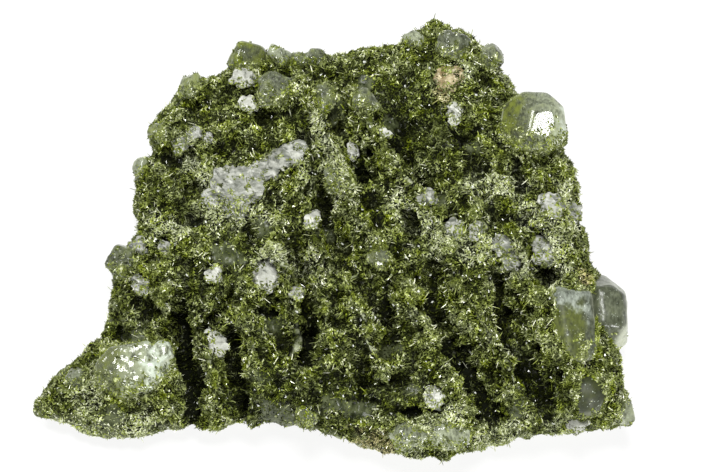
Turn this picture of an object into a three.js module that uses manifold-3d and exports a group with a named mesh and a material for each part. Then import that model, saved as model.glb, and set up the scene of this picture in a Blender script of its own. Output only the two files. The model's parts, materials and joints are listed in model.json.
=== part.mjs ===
// Quartz on epidote: a hand specimen that lies on its broken flat back.
//
// A plate of rock carries a crust of green epidote, drawn out in slanting
// crests with deep furrows between them. Clear quartz crystals sit in its
// edges, and milky quartz shows through the crust in patches.
//
// Lengths are millimetres and angles are degrees. +Z points out of the crust,
// X runs along the plate, and the origin is the middle of the flat back.

import * as THREE from 'three';
import { ConvexGeometry } from 'three/addons/geometries/ConvexGeometry.js';
import { ConvexHull } from 'three/addons/math/ConvexHull.js';
import { ImprovedNoise } from 'three/addons/math/ImprovedNoise.js';
import { mergeVertices } from 'three/addons/utils/BufferGeometryUtils.js';
import Module from 'manifold-3d';

// Heights of the plate
const PLATE_HEIGHT = 15.5;
const RIM_SHARE = 0.4;
const RIM_WAVE = 1.2;
const SHOULDER_WIDTH = 6;
const WING_DROP = 7;
const WING_FROM = 14;
const WING_TO = 42;
const BACK_DROP = 2.5;
const BACK_FROM = 14;
const BACK_TO = 36;

// Relief of the crust
const CREST_WIDTH = 1.7;
const LUMP_HEIGHT = 2.3;
const LUMP_ACROSS = 3.8;
const LUMP_ALONG = 8.5;
const GRAIN_HEIGHT = 1.1;
const GRAIN_SIZE = 2.3;
const CREST_BEARING = -62;

// Broken sides and flat back
const RIM_STEPS = 140;
const WAIST_HEIGHT = 2.6;
const WAIST_INSET = 0.7;
const BACK_INSET = 3.4;
const SIDE_WAVE = 1.7;
const SIDE_GRAIN = 3.2;
const RAGGED_EDGE = 0.9;

// Distance between the corners of the crust's flat faces
const CORNER_SPACING = 1.85;
const CLOSEST_SHARE = 0.62;
const JITTER_SHARE = 0.45;

// How deep a patch of milky quartz lies, as a share of its half height
const BURIED_SHARE = 0.25;

// Number of faces of an angular chip and of a rounder lump
const CHIP_FACES = 9;
const LUMP_FACES = 12;

// Room around each crystal in its seat
const SEAT_GAP = 0.3;

const FINISHES = {
  epidote: { color: 0x4d5a22, roughness: 0.45, metalness: 0 },
  clearQuartz: { color: 0xa9b59a, roughness: 0.08, metalness: 0 },
  milkyQuartz: { color: 0xd9dcd4, roughness: 0.35, metalness: 0 },
  stainedQuartz: { color: 0xc3a184, roughness: 0.5, metalness: 0 },
};

// Middle of the plate, from which every point of the outline can be seen
const MIDDLE = [2, -4];

// Outline of the plate from the tip of the left wing, along the front edge,
// up the right side and back over the top
const OUTLINE = [
  [-50.4, -28.4], [-44.7, -30.6], [-40, -32.1], [-35.8, -33.4], [-29.7, -32.7], [-23, -31.4],
  [-16.3, -31.3], [-9.7, -30.9], [-3, -31.9], [2.8, -33.8], [9.5, -35.9], [16.2, -37],
  [23.8, -35.2], [31.2, -33.1], [37.8, -32.5], [43.7, -32], [48.2, -30.6], [49, -28],
  [48.8, -23.2], [47.4, -18.6], [45.4, -14.6], [44.8, -10.6], [44.3, -7], [43.2, -3.4],
  [42.5, 0.6], [41.7, 6.6], [40.7, 13], [38.2, 16.8], [35.6, 20.5], [33, 23.9],
  [30.4, 27.8], [28.8, 30.9], [27, 33.7], [24.2, 36.4], [20.2, 37.9], [16.8, 39.7],
  [13, 36.9], [10.3, 35.2], [5.3, 34.5], [0.3, 33.4], [-5.5, 32.8], [-8.6, 32.9],
  [-12.5, 33.2], [-16, 31.7], [-18.4, 30.3], [-22.4, 28.7], [-26.6, 26.6], [-28.9, 23.9],
  [-30.8, 19.8], [-31.3, 15.8], [-32.8, 11.2], [-33.2, 6.6], [-33.5, 1.5], [-35.8, -0.9],
  [-37.3, -4], [-37.5, -8.9], [-37.6, -12.8], [-39.6, -15.8], [-43.8, -19.4], [-48.2, -24.6],
];

// Crests of the crust: height and the line that each follows
const CRESTS = [
  [4.4, [-5.8, 23.7], [-3.2, 19.5], [-1.3, 15.1], [2.2, 6.1], [3.2, 2.6]],
  [3.5, [2.5, 22.5], [8, 15.1], [10.3, 10.4], [17.2, 2.3], [19.2, -2.5]],
  [3.4, [-3.5, 0.6], [2, -9.4], [4.8, -13.2], [6.7, -17.2]],
  [3.1, [2.5, 3.5], [7.8, -4.6], [13.2, -12.9]],
  [2.9, [-13.2, -11.5], [-10.2, -19.8]],
  [3.6, [-21, -17.2], [-19, -26.4], [-18.7, -29.5]],
  [3.4, [-14.5, -16], [-12.8, -21.5], [-11.8, -27.6]],
  [2.9, [-4.2, -23.6], [0.8, -33.9]],
  [3.8, [11.5, -11.2], [17.8, -20.7], [20.3, -25.3], [21.7, -30.5]],
  [3.6, [20.3, -10.3], [26.5, -20.1], [32, -30.5]],
  [3.4, [31.2, -7.7], [35, -18.9], [38.7, -29.3]],
  [2.1, [2, -18.1], [3.2, -27.6]],
  [2.6, [7, -20.7], [11.2, -30.1]],
  [2.3, [-25.8, 20.2], [-21.3, 11.3]],
  [2.6, [-28.8, 11.3], [-23.8, 0.9], [-21.3, -3.4]],
  [2.1, [-30.5, 1.8], [-27.5, -10.3]],
  [2.6, [17.8, 16.4], [22.8, 6.1], [24.5, 1.8]],
  [2.3, [24.5, 14.7], [28.7, 4.4]],
  [2.6, [34, 9], [37, 0]],
  [2.9, [-10.5, -2.5], [-6, -11.2], [-5.5, -16.3]],
  [2.3, [-1.3, -12.9], [0.3, -23.2]],
  [2.3, [24.5, -5.1], [25.8, -10.3]],
];

// Furrows and pits of the crust: depth, half width and the line that each
// follows, which is a single point for a pit
const FURROWS = [
  [5.5, 1.9, [-0.8, 21.6], [2, 17.3], [4.2, 13], [5.8, 9.9]],
  [5.5, 1.8, [-1.5, 7.5], [0, -1.7], [2, -5.6]],
  [4, 2, [4.2, -9.1], [9.8, -15.5], [8.8, -20.7]],
  [5, 2.2, [-10.8, -11.2], [-8.8, -19.5]],
  [4.5, 1.4, [-5.5, -3.4], [-3.7, -16.3], [-4, -21.5]],
  [6, 2.4, [-24.8, -13.2], [-24.8, -18.1], [-22.8, -27.6], [-24.5, -31.5]],
  [3.5, 1.2, [-16.8, -12.6], [-21.2, -16.3]],
  [5, 1.6, [-17.2, -18.9], [-14.8, -28.4]],
  [5.5, 2, [16.5, -7.7], [19, -18.9], [24.5, -26.7], [26.7, -31]],
  [6, 3.2, [24, -26]],
  [5, 1.7, [27.3, -8], [30.3, -18.1], [35.3, -28.8]],
  [4, 2.4, [35.3, -8]],
  [1.8, 4, [12, 18.2]],
  [2.8, 1.6, [-28.3, 13.8], [-23.8, 7.5]],
  [3, 1.4, [-27.5, 5.2], [-24.7, 1.8]],
  [3, 1.8, [-30.2, -12]],
  [3, 1.6, [-34.2, -16.4]],
  [2.5, 1.1, [-45.2, -27.5], [-45.2, -31]],
  [2.8, 1.4, [30, 14.7], [31.2, 7.8]],
  [3.2, 1.4, [12.8, 11.3], [16.5, 5.7]],
  [3, 2, [13.2, 1.8]],
  [3, 1.5, [5.3, -20.7], [4.2, -30.5]],
  [3, 1.5, [10.3, -25.3], [12.2, -30.1]],
  [2.5, 3.4, [-15.5, 13]],
  [2, 1.6, [-11.3, 19.5]],
  [3, 1.9, [10.3, 14.7]],
];

const wasm = await Module();
wasm.setup();
const noise = new ImprovedNoise();
const { degToRad, lerp, smoothstep } = THREE.MathUtils;

// Closed solid of a geometry, from its positions alone
function solidFrom(geometry) {
  const bare = geometry.clone();
  bare.deleteAttribute('normal');
  bare.deleteAttribute('uv');
  const merged = mergeVertices(bare, 1e-4);
  return new wasm.Manifold(new wasm.Mesh({
    numProp: 3,
    vertProperties: new Float32Array(merged.attributes.position.array),
    triVerts: new Uint32Array(merged.index.array),
  }));
}

function geometryFrom(solid) {
  const { vertProperties, triVerts } = solid.getMesh();
  const geometry = new THREE.BufferGeometry();
  geometry.setAttribute('position', new THREE.BufferAttribute(vertProperties, 3));
  geometry.setIndex(new THREE.BufferAttribute(triVerts, 1));
  geometry.computeVertexNormals();
  return geometry;
}

// Lines between the neighbouring points of a path; one point makes a line
// without length
function linesAlong(path) {
  const points = path.map(([x, y]) => new THREE.Vector3(x, y, 0));
  const ends = points.length > 1 ? points.slice(1) : points;
  return ends.map((end, i) => new THREE.Line3(points[i], end));
}

const foot = new THREE.Vector3();

function distanceTo(lines, point) {
  return Math.min(...lines.map(
    (line) => line.closestPointToPoint(point, true, foot).distanceTo(point),
  ));
}

// A point of the outline moved in or out, as a broken edge is ragged
function ragged(point) {
  const shift = RAGGED_EDGE * noise.noise(point.x / SIDE_GRAIN, point.y / SIDE_GRAIN, 6.1);
  const outward = point.clone().sub(new THREE.Vector3(...MIDDLE, 0)).normalize();
  return point.clone().addScaledVector(outward, shift);
}

const rimCurve = new THREE.CatmullRomCurve3(
  OUTLINE.map(([x, y]) => new THREE.Vector3(x, y, 0)), true, 'centripetal');
const rimPoints = rimCurve.getSpacedPoints(RIM_STEPS).slice(0, -1).map(ragged);
const rimLines = linesAlong([...rimPoints, rimPoints[0]].map(({ x, y }) => [x, y]));
const crests = CRESTS.map(([height, ...path]) => ({ height, lines: linesAlong(path) }));
const furrows = FURROWS.map(
  ([depth, width, ...path]) => ({ depth, width, lines: linesAlong(path) }));

const reliefLines = [...crests, ...furrows].flatMap(({ lines }) => lines);

function bell(distance, width) {
  return Math.exp(-((distance / width) ** 2));
}

// Height of the plate without its relief: lower on the left wing and towards
// the back edge
function plateHeight(x, y) {
  return PLATE_HEIGHT
    - WING_DROP * smoothstep(-x, WING_FROM, WING_TO)
    - BACK_DROP * smoothstep(y, BACK_FROM, BACK_TO);
}

// Lumps drawn out along the crests, with a finer grain on them
function roughness(x, y) {
  const turn = degToRad(CREST_BEARING);
  const along = x * Math.cos(turn) + y * Math.sin(turn);
  const across = y * Math.cos(turn) - x * Math.sin(turn);
  return LUMP_HEIGHT * noise.noise(along / LUMP_ALONG, across / LUMP_ACROSS, 3.7)
    + GRAIN_HEIGHT * noise.noise(x / GRAIN_SIZE, y / GRAIN_SIZE, 8.3);
}

// Height of the crust, which rounds over to the rim along the outline
function surfaceHeight(x, y) {
  const point = new THREE.Vector3(x, y, 0);
  const crest = Math.max(...crests.map(
    ({ height, lines }) => height * bell(distanceTo(lines, point), CREST_WIDTH)));
  const furrow = Math.max(...furrows.map(
    ({ depth, width, lines }) => depth * bell(distanceTo(lines, point), width)));
  const top = plateHeight(x, y) + crest - furrow + roughness(x, y);
  const rim = RIM_SHARE * plateHeight(x, y) + RIM_WAVE * noise.noise(x / 7, y / 7, 1.4);
  const inward = Math.min(distanceTo(rimLines, point) / SHOULDER_WIDTH, 1);
  return lerp(rim, top, Math.sqrt(1 - (1 - inward) ** 2));
}

// A point of the outline moved towards the middle, at a given height
function insetPoint({ x, y }, inset, z) {
  const wave = SIDE_WAVE * noise.noise(x / SIDE_GRAIN, y / SIDE_GRAIN, z + 5.2);
  const reach = Math.hypot(x - MIDDLE[0], y - MIDDLE[1]);
  const share = 1 - (inset + wave) / reach;
  return [lerp(MIDDLE[0], x, share), lerp(MIDDLE[1], y, share), z];
}

function insideOutline({ x, y }) {
  const crossings = rimLines.filter(({ start, end }) => (start.y > y) !== (end.y > y)
    && x < lerp(start.x, end.x, (y - start.y) / (end.y - start.y)));
  return crossings.length % 2 === 1;
}

// Corners of the crust in plan: around the rim, along every crest and furrow,
// and scattered evenly over what lies between them
function crustCorners() {
  const corners = [...rimPoints];
  const addIfClear = (point) => {
    const closest = CLOSEST_SHARE * CORNER_SPACING;
    if (insideOutline(point) && corners.every((other) => other.distanceTo(point) > closest)) {
      corners.push(point);
    }
  };
  for (const line of reliefLines) {
    const steps = Math.max(1, Math.round(line.distance() / CORNER_SPACING));
    for (let step = 0; step <= steps; step += 1) {
      addIfClear(line.at(step / steps, new THREE.Vector3()));
    }
  }
  const { seededRandom } = THREE.MathUtils;
  seededRandom(5);
  const { min, max } = new THREE.Box3().setFromPoints(rimPoints);
  const rowSpacing = CORNER_SPACING * Math.sin(degToRad(60));
  for (let row = 0; row * rowSpacing < max.y - min.y; row += 1) {
    for (let column = 0; column * CORNER_SPACING < max.x - min.x; column += 1) {
      const shift = column + (row % 2) / 2 + JITTER_SHARE * (seededRandom() - 0.5);
      const rise = row + JITTER_SHARE * (seededRandom() - 0.5);
      addIfClear(new THREE.Vector3(
        min.x + shift * CORNER_SPACING, min.y + rise * rowSpacing, 0));
    }
  }
  return corners;
}

// Triangles between points in plan. Lifted onto a bowl, the points have the
// even triangulation as the underside of their convex hull
function triangulate(points) {
  const lifted = points.map(({ x, y }) => new THREE.Vector3(x, y, x * x + y * y));
  const order = new Map(lifted.map((point, i) => [point, i]));
  const underside = new ConvexHull().setFromPoints(lifted).faces.filter((f) => f.normal.z < 0);
  return underside.map(({ edge }) => [edge.next, edge, edge.prev]
    .map((side) => order.get(side.head().point)));
}

// The whole plate as one closed surface: the triangles of the crust, two
// bands down the broken sides and a fan across the flat back
function plateGeometry() {
  const corners = crustCorners();
  const positions = corners.map(({ x, y }) => [x, y, surfaceHeight(x, y)]);
  const faces = triangulate(corners).filter((triangle) => insideOutline(
    new THREE.Triangle(...triangle.map((i) => corners[i])).getMidpoint(new THREE.Vector3())));

  let upper = 0;
  for (const [height, inset] of [[WAIST_HEIGHT, WAIST_INSET], [0, BACK_INSET]]) {
    const lower = positions.length;
    rimPoints.forEach((point) => positions.push(insetPoint(point, inset, height)));
    for (let step = 0; step < RIM_STEPS; step += 1) {
      const next = (step + 1) % RIM_STEPS;
      faces.push([upper + step, lower + step, lower + next]);
      faces.push([upper + step, lower + next, upper + next]);
    }
    upper = lower;
  }
  positions.push([...MIDDLE, 0]);
  for (let step = 0; step < RIM_STEPS; step += 1) {
    faces.push([positions.length - 1, upper + ((step + 1) % RIM_STEPS), upper + step]);
  }

  const geometry = new THREE.BufferGeometry();
  geometry.setAttribute('position', new THREE.Float32BufferAttribute(positions.flat(), 3));
  geometry.setIndex(faces.flat());
  geometry.computeVertexNormals();
  return geometry;
}

// One flat face of a crystal: its normal leans by `tilt` from +Z towards
// `bearing`, and it lies `reach` from the crystal's middle
function face(bearing, tilt, reach) {
  const normal = new THREE.Vector3().setFromSphericalCoords(
    1, degToRad(tilt), degToRad(bearing + 90));
  return { normal: new THREE.Vector3(normal.x, -normal.z, normal.y), reach };
}

// Geometry of the convex body that the faces enclose, with every face moved
// out by `grow`
function crystalGeometry(faces, grow = 0) {
  const corners = [];
  const reachOf = ({ reach }) => reach + grow;
  faces.forEach((a, i) => faces.slice(i + 1).forEach((b, j) => {
    faces.slice(i + j + 2).forEach((c) => {
      const bc = new THREE.Vector3().crossVectors(b.normal, c.normal);
      const ca = new THREE.Vector3().crossVectors(c.normal, a.normal);
      const ab = new THREE.Vector3().crossVectors(a.normal, b.normal);
      const volume = a.normal.dot(bc);
      if (Math.abs(volume) < 1e-6) return;
      const corner = bc.multiplyScalar(reachOf(a))
        .addScaledVector(ca, reachOf(b))
        .addScaledVector(ab, reachOf(c))
        .divideScalar(volume);
      const inside = faces.every((f) => corner.dot(f.normal) < reachOf(f) + 1e-6);
      if (inside && corners.every((other) => other.distanceTo(corner) > 1e-3)) {
        corners.push(corner);
      }
    });
  }));
  return new ConvexGeometry(corners);
}

// Faces of a low rounded dome: steep sides, a ring of sloping faces above
// them and a level top
function domeFaces({ radius, height, turn, sides = 7 }) {
  const ring = (tilt, reach, shift) => Array.from({ length: sides }, (_, i) => face(
    turn + (i + shift) * (360 / sides), tilt, reach * (1 + 0.04 * Math.sin(3 * i))));
  const topShare = 0.42;
  return [
    ...ring(82, radius, 0),
    ...ring(45, (topShare * radius + height) * Math.SQRT1_2, 0.5),
    face(turn, 3, height),
    face(0, 180, height),
  ];
}

// Faces of an irregular chip inside an ellipsoid with the given half sizes,
// turned about +Z
function chipFaces({ size: [long, wide, high], turn, seed, count }) {
  const { seededRandom } = THREE.MathUtils;
  seededRandom(seed);
  const golden = Math.PI * (3 - Math.sqrt(5));
  return Array.from({ length: count }, (_, i) => {
    const z = 1 - (2 * i + 1) / count;
    const angle = golden * i + seededRandom();
    const flat = Math.sqrt(1 - z * z);
    const normal = new THREE.Vector3(
      flat * Math.cos(angle) + 0.3 * (seededRandom() - 0.5),
      flat * Math.sin(angle) + 0.3 * (seededRandom() - 0.5),
      z,
    ).normalize();
    const reach = Math.hypot(normal.x * long, normal.y * wide, normal.z * high);
    normal.applyAxisAngle(new THREE.Vector3(0, 0, 1), degToRad(turn));
    return { normal, reach: reach * (0.7 + 0.2 * seededRandom()) };
  });
}

// The stout clear crystal in the upper right edge, with its large flat face up
const upperRightFaces = [
  face(5, 86, 4.8), face(45, 84, 4.7), face(85, 82, 4.8), face(128, 82, 5),
  face(170, 84, 5.2), face(215, 86, 5.2), face(260, 88, 5), face(310, 88, 5.1),
  face(4, 53, 4.6), face(45, 42, 4.2), face(103, 35, 3), face(165, 32, 2.75),
  face(205, 38, 3.95), face(249, 42, 4.45), face(327, 50, 5.15), face(90, 2, 3),
  face(0, 180, 5),
];

// The pair at the right edge: a grey-green prism that leans on a greener one
const rightOuterFaces = [
  face(14, 14, 3.1), face(178, 46, 3.1), face(2, 56, 3.4), face(0, 86, 3.3),
  face(182, 96, 3.6), face(92, 62, 4.5), face(50, 72, 4.2), face(132, 72, 4.9),
  face(270, 62, 4), face(232, 80, 4.5), face(312, 76, 4.3), face(0, 180, 4.4),
];
const rightInnerFaces = [
  face(8, 20, 3.2), face(186, 40, 3.4), face(4, 86, 4.2), face(184, 88, 3.6),
  face(84, 58, 5.9), face(42, 72, 6.4), face(128, 70, 5.9), face(268, 72, 6.3),
  face(228, 76, 6.4), face(306, 74, 6.4), face(0, 180, 3.6),
];

// The broad crystal on the left wing, broken across its upper right corner
const lowerLeftFaces = [
  face(0, 84, 5.9), face(52, 80, 5), face(100, 78, 4), face(140, 80, 5.2),
  face(188, 82, 6), face(235, 80, 5.4), face(275, 80, 4.4), face(318, 80, 5.2),
  face(150, 30, 3.9), face(190, 32, 4.1), face(232, 40, 4.6), face(275, 44, 4.6),
  face(80, 3, 3), face(20, 38, 4.6), face(0, 180, 3.2),
];

// The broken plate that grew on its side, level and bright
const brokenPlateFaces = [
  face(15, 78, 1.9), face(80, 74, 2), face(130, 80, 1.5), face(185, 76, 1.8),
  face(250, 72, 1.8), face(310, 80, 1.6), face(60, 4, 1.1), face(0, 180, 1.6),
];

const clear = 'clearQuartz';
const milky = 'milkyQuartz';

// A body cut by the given faces around its middle
function cut(x, y, z, faces) {
  return { place: new THREE.Vector3(x, y, z), faces };
}

// An irregular chip whose middle stands `rise` above the crust
function chip(x, y, rise, size, turn, seed, count = CHIP_FACES) {
  return cut(x, y, surfaceHeight(x, y) + rise, chipFaces({ size, turn, seed, count }));
}

// A chip with more faces, so that it is rounder
function lump(x, y, rise, size, turn, seed) {
  return chip(x, y, rise, size, turn, seed, LUMP_FACES);
}

// A chip that lies half buried and shows as a patch of the crust
function patch(x, y, rise, size, turn, seed) {
  return chip(x, y, rise - BURIED_SHARE * size[2], size, turn, seed);
}

// Every crystal and chip in the crust. Bodies that grew together are listed
// under one name
const CRYSTALS = [
  ['quartz_upper_right', clear, cut(33.6, 18, 16.4, upperRightFaces)],
  ['quartz_right_pair', clear,
    cut(45.1, -13.2, 10.6, rightOuterFaces),
    cut(38.6, -16.4, 13.4, rightInnerFaces)],
  ['quartz_lower_left', clear,
    cut(-32.5, -22.5, 9.6, lowerLeftFaces),
    cut(-28.2, -20.5, 12.1, brokenPlateFaces)],
  ['quartz_lower_right', clear,
    cut(41.4, -27.6, 14, domeFaces({ radius: 2.9, height: 2.7, turn: 20 }))],
  ['quartz_corner_nub', clear, lump(47.9, -29.5, -0.9, [1.6, 2.3, 2], 0, 12)],
  ['quartz_top_left_dome', clear, lump(-14.3, 30.5, 0.5, [3.8, 3.4, 2.8], 14, 13)],
  ['quartz_top_left_blue', clear,
    lump(-9.6, 31.3, 0.4, [1.3, 1.3, 1.4], 0, 14),
    lump(-8.2, 30.3, 0.4, [1.4, 1.4, 1.4], 0, 70)],
  ['quartz_top_left_band', clear,
    lump(-5.6, 30.1, 0.2, [1.8, 1.4, 1.4], -10, 15),
    lump(-3, 30.5, 0.3, [2, 1.6, 1.6], 0, 71)],
  ['quartz_left_shoulder', clear, lump(-23.6, 25.6, 0.4, [2.4, 2.1, 2.1], 40, 16)],
  ['quartz_left_brow', clear, lump(-28.7, 17.6, 0.2, [1.8, 1.9, 1.6], 0, 72)],
  ['quartz_left_nub', clear, lump(-31.7, 12.6, 0, [1.7, 1.9, 1.6], 0, 17)],
  ['quartz_left_lobe', clear, lump(-34.7, -4.3, 0.3, [2.7, 2.8, 2.2], 0, 18)],
  ['milky_vein', milky,
    patch(-15.3, 7.4, 0, [5.2, 3.7, 2], 12, 21),
    patch(-11.2, 10, 0, [3.4, 2, 1.5], 25, 22),
    patch(-7.3, 12.4, 0, [3.6, 1.7, 1.4], 8, 23),
    patch(-15.4, 3.6, 0.1, [2.1, 1.7, 1.4], 0, 24),
    patch(-19.8, 5.4, 0, [1.8, 1.5, 1.3], 30, 25)],
  ['milky_centre', milky, patch(-10.6, -7.3, 0.45, [2.8, 2.7, 1.7], 10, 26)],
  ['milky_sliver_lower_left', milky, patch(-19, -19.5, 0.05, [2.5, 1.1, 1.3], 118, 27)],
  ['milky_fleck_centre', milky, patch(-5.7, -11.3, 0.05, [1.1, 0.9, 0.9], 60, 28)],
  ['milky_upper_right', milky, patch(20.3, 19.9, 0.15, [1.7, 1.1, 1.1], 80, 29)],
  ['milky_upper_left', milky, patch(-14, 21.8, 0.15, [1.3, 1.3, 1], 0, 30)],
  ['milky_top_left', milky, patch(-14.8, 26.1, 0.05, [2.3, 1.1, 1.1], 4, 31)],
  ['quartz_grey_upper_left', clear, chip(-9.5, 24.1, 0.2, [3.2, 3.2, 1.6], -25, 32)],
  ['quartz_grey_upper_middle', clear, chip(-0.8, 23.9, 0.2, [2.7, 1.8, 1.4], 0, 33)],
  ['quartz_green_upper_middle', clear, chip(5.3, 20.7, 0.4, [2.3, 1.7, 1.4], -40, 34)],
  ['quartz_top_middle', clear, lump(13.7, 33.4, 0.4, [1.9, 1.3, 1.4], 0, 35)],
  ['quartz_top_right', clear, lump(20.2, 32.2, 0.2, [3.1, 2.4, 1.8], -20, 66)],
  ['quartz_right_shoulder', clear, lump(26.6, 30.6, 0.2, [2.1, 2.4, 1.8], -40, 73)],
  ['stained_quartz', 'stainedQuartz', patch(19.5, 26.4, 0.4, [2.7, 2, 1.4], 10, 37)],
  ['quartz_front', clear,
    lump(12.8, -34.2, 0, [3.5, 2.3, 2], -8, 38),
    lump(18.6, -34.2, 0.2, [4.2, 2.4, 2.2], 0, 39)],
  ['quartz_grey_front_left', clear, lump(-3.9, -30.3, 0, [1.8, 2.5, 1.7], -10, 40)],
  ['quartz_grey_ridge', clear, chip(0.5, 7.6, 0.4, [2.7, 1.2, 1.3], -55, 41)],
  ['quartz_grey_centre', clear, lump(7.8, -6, 0.3, [1.8, 1.6, 1.2], 0, 42)],
  ['milky_front', milky, patch(16.7, -27.9, 0.15, [1.9, 1.3, 1.2], 110, 43)],
  ['milky_front_edge', milky, patch(40, -31.8, 0, [1.6, 1.1, 1], -22, 44)],
  ['milky_middle_right', milky, patch(20, -0.3, 0.15, [2, 1, 1.2], 100, 45)],
  ['milky_fleck_right', milky, patch(23.7, -1, 0.15, [1.2, 1, 0.9], 0, 46)],
  ['milky_slip_right', milky, patch(15.8, 4.4, 0.05, [1.6, 1, 1], -38, 47)],
  ['milky_right_inner', milky,
    patch(28, -2.9, 0.4, [1.9, 1.6, 1.3], 110, 48),
    patch(29.3, -5.7, 0.2, [1.8, 1.5, 1.2], 110, 49)],
  ['milky_right_lower', milky, patch(35, -3.6, 0.15, [2.3, 2, 1.3], 60, 50)],
  ['milky_right_upper', milky, patch(35.8, 3.1, 0.15, [2, 1.8, 1.2], 40, 51)],
  ['milky_right_edge', milky, patch(40, 4, -0.25, [1.3, 1.6, 1.2], 0, 52)],
  ['milky_fleck_left_of_middle', milky, patch(-3.3, 0.6, 0.15, [1.4, 0.9, 0.9], 100, 53)],
  ['milky_sliver_furrow', milky, patch(3.3, 14.4, 0.25, [1.7, 0.7, 0.9], 96, 54)],
  ['milky_fleck_top', milky, patch(8.6, 15.7, 0.15, [0.9, 0.8, 0.8], 0, 55)],
  ['milky_facet_left', milky, patch(-19.2, -7.8, 0.05, [1.3, 1.2, 1], 0, 56)],
  ['milky_left_edge', milky, patch(-32, -1.4, 0.05, [1.4, 1.1, 1], 80, 57)],
  ['milky_left_lower', milky, patch(-31.7, -8.5, 0.05, [1.7, 1.1, 1], 115, 58)],
  ['milky_fleck_left', milky, patch(-27.8, -2.2, 0.05, [1.1, 0.9, 0.9], -30, 59)],
  ['milky_upper_left_fleck', milky, patch(-20.5, 15.9, 0.7, [0.9, 0.8, 0.8], 0, 60)],
  ['milky_left_streak', milky, patch(-25.2, 15, 0.1, [1.7, 1, 1], 70, 74)],
  ['milky_left_streak_upper', milky, patch(-22.7, 16.1, 0.2, [1.3, 0.9, 0.9], 20, 75)],
  ['quartz_wing', clear, chip(-41.8, -23.6, 0.1, [1.9, 1.5, 1.1], -50, 61)],
];

function bodySolid({ place, faces }, grow) {
  return solidFrom(crystalGeometry(faces, grow).translate(place.x, place.y, place.z));
}

function namedMesh(name, geometry, finish) {
  const mesh = new THREE.Mesh(geometry, new THREE.MeshStandardMaterial(FINISHES[finish]));
  mesh.name = name;
  return mesh;
}

// A crystal stands at the place of its first body, and its geometry is
// measured from there
function crystalMesh(name, finish, bodies) {
  const { place } = bodies[0];
  const solid = bodies.map((body) => bodySolid(body, 0)).reduce((a, b) => a.add(b));
  const local = solid.translate([-place.x, -place.y, -place.z]);
  const mesh = namedMesh(name, geometryFrom(local), finish);
  mesh.position.copy(place);
  return mesh;
}

// The crust and its rock in one piece, with a seat cut for every crystal
function matrixMesh() {
  const bodies = CRYSTALS.flatMap(([, , ...cuts]) => cuts);
  const seats = bodies.map((body) => bodySolid(body, SEAT_GAP));
  const seated = seats.reduce((plate, seat) => plate.subtract(seat), solidFrom(plateGeometry()));
  const pieces = seated.decompose().sort((a, b) => b.volume() - a.volume());
  return namedMesh('epidote_matrix', geometryFrom(pieces[0]), 'epidote');
}

const specimen = new THREE.Group();
specimen.add(matrixMesh());
CRYSTALS.forEach(([name, finish, ...bodies]) => specimen.add(crystalMesh(name, finish, bodies)));

const box = new THREE.Box3().setFromObject(specimen, true);
const middle = box.getCenter(new THREE.Vector3());
specimen.position.set(-middle.x, -middle.y, -box.min.z);

export default specimen;
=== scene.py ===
"""Quartz on epidote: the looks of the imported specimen.

The plate becomes rough rock under a felt of fine green needles. The clear
crystals turn glassy, the milky ones ragged and cloudy, and the whole lies on
a pale studio floor. Lengths are metres in the specimen's own axes, with +Z
pointing out of the crust.
"""

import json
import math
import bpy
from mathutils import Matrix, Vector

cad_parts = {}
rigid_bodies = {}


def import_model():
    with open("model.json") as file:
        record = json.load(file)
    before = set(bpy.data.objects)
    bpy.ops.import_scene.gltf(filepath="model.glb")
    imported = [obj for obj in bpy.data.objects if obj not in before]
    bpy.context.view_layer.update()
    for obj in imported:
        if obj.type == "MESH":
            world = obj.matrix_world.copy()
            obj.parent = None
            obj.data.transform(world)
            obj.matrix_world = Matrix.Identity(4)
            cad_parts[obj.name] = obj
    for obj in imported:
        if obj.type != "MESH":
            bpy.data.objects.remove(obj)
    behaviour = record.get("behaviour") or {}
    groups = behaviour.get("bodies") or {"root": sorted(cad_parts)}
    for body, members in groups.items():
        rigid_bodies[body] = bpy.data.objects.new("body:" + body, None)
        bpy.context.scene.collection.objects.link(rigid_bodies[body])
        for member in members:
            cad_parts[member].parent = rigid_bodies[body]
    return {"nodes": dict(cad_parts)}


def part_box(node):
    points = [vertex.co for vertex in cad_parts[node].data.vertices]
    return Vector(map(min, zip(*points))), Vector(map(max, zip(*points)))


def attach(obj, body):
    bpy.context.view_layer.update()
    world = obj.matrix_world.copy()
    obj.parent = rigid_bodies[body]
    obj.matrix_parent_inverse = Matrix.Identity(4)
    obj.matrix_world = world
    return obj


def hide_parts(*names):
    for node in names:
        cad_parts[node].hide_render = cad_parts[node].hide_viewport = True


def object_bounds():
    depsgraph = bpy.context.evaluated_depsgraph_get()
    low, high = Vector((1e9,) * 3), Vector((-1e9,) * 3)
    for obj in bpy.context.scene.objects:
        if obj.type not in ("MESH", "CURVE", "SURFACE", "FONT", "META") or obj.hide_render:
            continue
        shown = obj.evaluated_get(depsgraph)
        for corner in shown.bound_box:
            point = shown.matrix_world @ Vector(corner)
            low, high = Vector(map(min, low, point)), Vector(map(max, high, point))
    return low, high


bl_info = {
    "name": "Quartz on Epidote",
    "version": (1, 0, 0),
    "blender": (4, 5, 0),
    "location": "View3D > Sidebar > Specimen",
    "description": "Dresses a mineral specimen in needles, grains and glassy crystals",
    "category": "Object",
}

import bmesh
import bpy
import numpy as np
from bpy.props import FloatProperty, FloatVectorProperty, IntProperty, PointerProperty
from mathutils import Vector, noise
from mathutils.bvhtree import BVHTree

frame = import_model()
CAD_LOW, CAD_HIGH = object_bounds()

MM = 0.001
BODY = "root"
CLEAR_NODES = sorted(n for n in frame["nodes"] if n.startswith("quartz_"))
MILKY_NODES = sorted(n for n in frame["nodes"] if n.startswith("milky_"))
STAINED_NODES = sorted(n for n in frame["nodes"] if n.startswith("stained_"))

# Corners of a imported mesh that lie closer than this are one
MERGE_DISTANCE = 0.001 * MM
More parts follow.
